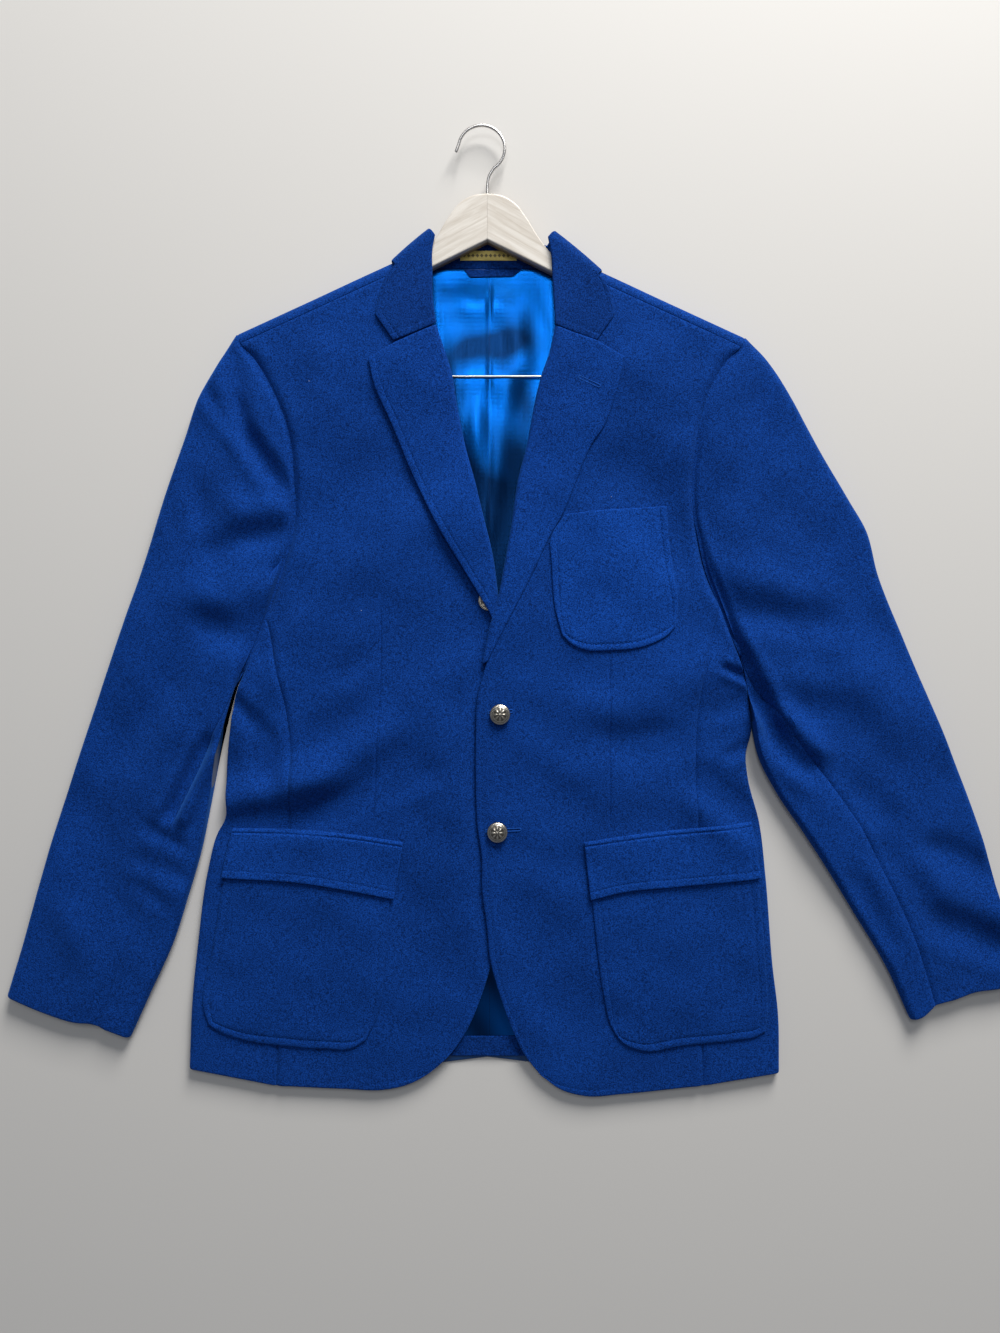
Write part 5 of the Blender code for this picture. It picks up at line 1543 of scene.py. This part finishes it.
class BlazerCloth(bpy.types.PropertyGroup):
    wool_deep: bpy.props.FloatVectorProperty(
        name="Wool, deep", description="Colour between the fibres of the flannel", subtype="COLOR", size=3,
        default=(0.0008, 0.0125, 0.0800), min=0, max=1)
    wool_raised: bpy.props.FloatVectorProperty(
        name="Wool, raised", description="Colour of the raised fibres of the flannel", subtype="COLOR",
        size=3,
        default=(0.0050, 0.0530, 0.3000), min=0, max=1)
    # Colours of the lining's painted highlight and painted shade
    satin_painted_highlight: bpy.props.FloatVectorProperty(
        name="Satin, bright", description="Lining where it catches the light", subtype="COLOR", size=3,
        default=(0.0005, 0.118, 0.520), min=0, max=1)
    satin_painted_shade: bpy.props.FloatVectorProperty(
        name="Satin, dark", description="Lining in its shades", subtype="COLOR", size=3,
        default=(0.0008, 0.011, 0.045), min=0, max=1)
    nap_contrast: bpy.props.FloatProperty(
        name="Nap contrast", description="How strongly the flannel's fibres show", default=3.4, min=0, max=8)
    crease_depth: bpy.props.FloatProperty(
        name="Crease depth", description="Factor on the depths in the crease tables", subtype="FACTOR",
        default=2.2, min=0, max=3)


class BlazerStage(bpy.types.PropertyGroup):
    camera_height: bpy.props.FloatProperty(
        name="Camera height", description="Height of the camera above the floor", subtype="DISTANCE",
        unit="LENGTH",
        default=0.95, min=0.3, max=5)
    lens: bpy.props.FloatProperty(
        name="Lens", description="Focal length for a 36 mm tall sensor", subtype="DISTANCE_CAMERA",
        unit="CAMERA",
        default=26.67, min=10, max=200)
    window_power: bpy.props.FloatProperty(
        name="Window power", description="Power of the big soft light beyond the collar", unit="POWER",
        default=142.0, min=0, max=1000)
    overhead_power: bpy.props.FloatProperty(
        name="Overhead power", description="Power of the soft light above", unit="POWER", default=12.0,
        min=0, max=1000)
    floor_colour: bpy.props.FloatVectorProperty(
        name="Floor", description="Colour of the plain floor", subtype="COLOR", size=3,
        default=(0.60, 0.585, 0.56),
        min=0, max=1)


class BLAZER_OT_body(bpy.types.Operator):
    """Backs, side bodies and fronts"""
    bl_idname = "blazer.body"
    bl_label = "Body"

    def execute(self, context):
        for side in SIDES:
            make_back(side)
            make_side(side)
            make_front(side)
        return {"FINISHED"}


class BLAZER_OT_lapels(bpy.types.Operator):
    """Lapels and collar, with the collar's inside band"""
    bl_idname = "blazer.lapels"
    bl_label = "Lapels and collar"

    def execute(self, context):
        for side in SIDES:
            make_lapel(side)
        make_collar()
        make_collar_stand()
        return {"FINISHED"}


class BLAZER_OT_sleeves(bpy.types.Operator):
    """Top and under sleeves"""
    bl_idname = "blazer.sleeves"
    bl_label = "Sleeves"

    def execute(self, context):
        for side in SIDES:
            make_sleeve(side)
        return {"FINISHED"}


class BLAZER_OT_pockets(bpy.types.Operator):
    """Patch pockets and flaps"""
    bl_idname = "blazer.pockets"
    bl_label = "Pockets and flaps"

    def execute(self, context):
        for name in POCKET:
            make_pocket(name)
        for name in FLAP:
            make_flap(name)
        return {"FINISHED"}


class BLAZER_OT_inside(bpy.types.Operator):
    """Back lining, turned-up hem, hanging loop and label"""
    bl_idname = "blazer.inside"
    bl_label = "Lining and trims"

    def execute(self, context):
        for side in SIDES:
            make_lining(side)
        on_back = BACK_WALL + SHEET_GAP
        # The hem strip and the loop tape take the darker copy of the wool: painted shade
        flat_strip("hem_strip", "hem_turnup",
                   ((-120, HEM_BOTTOM), (72, HEM_BOTTOM), (-120, -406.2), (72, -406.2)),
                   on_back, LINING_WALL, wool("shade"))
        flat_strip("loop_tape", "hanging_loop", ((-41, 320), (0, 320.5), (-47, 327.6), (9, 327.6)),
                   COLLAR_STEP + on_back + LINING_WALL + SHEET_GAP, LINING_WALL, wool("shade"))
        flat_strip("label_cloth", "label", ((-50, 336.5), (4, 336.5), (-50, 346), (4, 346)),
                   2 * COLLAR_ROLL_RADIUS + SHEET_GAP, LABEL_WALL, label_weave())
        return {"FINISHED"}


class BLAZER_OT_buttons(bpy.types.Operator):
    """Domed metal buttons and the worked buttonholes"""
    bl_idname = "blazer.buttons"
    bl_label = "Buttons and buttonholes"

    def execute(self, context):
        for row in BUTTONS:
            make_button(*row)

        def on_left_lapel(x, y):
            return front_top("left", x, y) + PLY_GAP + LAPEL_WALL + 1.0

        def on_left_front(x, y):
            return front_top("left", x, y) + 0.1

        buttonhole("lapel_buttonhole", (63.5, 220.5), (81.0, 212.0), on_left_lapel)
        buttonhole("upper_buttonhole", (-22.0, -95.6), (-1.0, -94.6), on_left_front)
        buttonhole("lower_buttonhole", (-24.0, -208.6), (6.5, -207.4), on_left_front)
        return {"FINISHED"}


class BLAZER_OT_hanger(bpy.types.Operator):
    """Wooden arms, steel hook and trouser bar"""
    bl_idname = "blazer.hanger"
    bl_label = "Hanger"

    def execute(self, context):
        for side in SIDES:
            make_arm(side)
        make_wire("hook_wire", "hanger_hook", hook_path(), ARM_UNDER + ARM_DEPTH / 2, HOOK_WIRE)
        bar_wires()
        return {"FINISHED"}


class BLAZER_OT_stitching(bpy.types.Operator):
    """Pick stitching along lapels, collar, front edges, pockets and flaps"""
    bl_idname = "blazer.stitching"
    bl_label = "Stitching"

    def execute(self, context):
        points, faces, start = [], [], 0
        for path, pitch in STITCH_RUNS:
            some, cells = stitches(path, pitch)
            points.append(some)
            faces.append(cells + start)
            start += len(some)
        cells = np.vstack(faces)
        thread_piece("pick_stitching", np.vstack(points),
                     [list(dict.fromkeys(row)) for row in cells.tolist()])
        return {"FINISHED"}


class BLAZER_OT_stage(bpy.types.Operator):
    """Pale floor, soft lights and the camera straight above"""
    bl_idname = "blazer.stage"
    bl_label = "Stage"

    def execute(self, context):
        stage = context.scene.blazer_stage
        make_floor(stage)
        make_lights(stage)
        data = bpy.data.cameras.new("overhead_camera")
        data.sensor_fit = "VERTICAL"
        data.sensor_height = 36.0
        data.lens = stage.lens
        camera = bpy.data.objects.new("overhead_camera", data)
        camera.location = (-0.012, -0.052, stage.camera_height)
        context.scene.collection.objects.link(camera)
        context.scene.camera = camera
        context.scene.view_settings.view_transform = "Standard"
        return {"FINISHED"}


def make_floor(stage):
    """Plain floor, a hair below the cloth."""
    mesh = bpy.data.meshes.new("floor")
    mesh.from_pydata([(-4, -4, -0.0004), (4, -4, -0.0004), (4, 4, -0.0004), (-4, 4, -0.0004)], [],
                     [(0, 1, 2, 3)])
    made, _, shader = finish_start("plain_floor", Roughness=0.7, Specular_IOR_Level=0.25)
    shader.inputs["Base Color"].default_value = (*stage.floor_colour, 1.0)
    mesh.materials.append(made)
    floor = bpy.data.objects.new("floor", mesh)
    bpy.context.scene.collection.objects.link(floor)


def make_lights(stage):
    """A wide window beyond the collar, a soft light overhead and an even grey surround."""
    for name, place, size, power, colour in (
        ("window_light", (0.78, 2.57, 1.365), 1.3, stage.window_power, (1.0, 0.985, 0.96)),
        ("overhead_light", (-0.12, 1.12, 2.6), 0.75, stage.overhead_power, (0.96, 0.98, 1.0)),
    ):
        data = bpy.data.lights.new(name, "AREA")
        data.shape = "SQUARE"
        data.size = size
        data.energy = power
        data.color = colour
        light = bpy.data.objects.new(name, data)
        light.location = place
        aim = -np.array(place)
        yaw, tilt = math.atan2(aim[1], aim[0]), math.acos(-aim[2] / np.linalg.norm(aim))
        light.rotation_euler = (tilt, 0.0, yaw - math.pi / 2)
        bpy.context.scene.collection.objects.link(light)
    world = bpy.data.worlds.new("soft_room")
    world.use_nodes = True
    back = world.node_tree.nodes["Background"]
    back.inputs["Color"].default_value = (0.82, 0.88, 1.0, 1.0)
    back.inputs["Strength"].default_value = 0.20
    bpy.context.scene.world = world


class BLAZER_PT_panel(bpy.types.Panel):
    bl_label = "Blazer"
    bl_idname = "BLAZER_PT_panel"
    bl_space_type = "VIEW_3D"
    bl_region_type = "UI"
    bl_category = "Blazer"

    def draw(self, context):
        for group in (context.scene.blazer_cloth, context.scene.blazer_stage):
            box = self.layout.box()
            for key in group.bl_rna.properties.keys()[1:]:
                if key != "name":
                    box.prop(group, key)
        for operator in OPERATORS:
            self.layout.operator(operator.bl_idname)


OPERATORS = (BLAZER_OT_body, BLAZER_OT_lapels, BLAZER_OT_sleeves, BLAZER_OT_pockets, BLAZER_OT_inside,
             BLAZER_OT_buttons, BLAZER_OT_hanger, BLAZER_OT_stitching, BLAZER_OT_stage)
CLASSES = (BlazerCloth, BlazerStage) + OPERATORS + (BLAZER_PT_panel,)


def register():
    for item in CLASSES:
        bpy.utils.register_class(item)
    bpy.types.Scene.blazer_cloth = bpy.props.PointerProperty(type=BlazerCloth)
    bpy.types.Scene.blazer_stage = bpy.props.PointerProperty(type=BlazerStage)


def unregister():
    del bpy.types.Scene.blazer_stage
    del bpy.types.Scene.blazer_cloth
    for item in reversed(CLASSES):
        bpy.utils.unregister_class(item)


def main():
    register()
    bpy.ops.blazer.body()
    bpy.ops.blazer.lapels()
    bpy.ops.blazer.sleeves()
    bpy.ops.blazer.pockets()
    bpy.ops.blazer.inside()
    bpy.ops.blazer.buttons()
    bpy.ops.blazer.hanger()
    bpy.ops.blazer.stitching()
    bpy.ops.blazer.stage()
    bpy.context.view_layer.update()


if __name__ == "__main__":
    main()
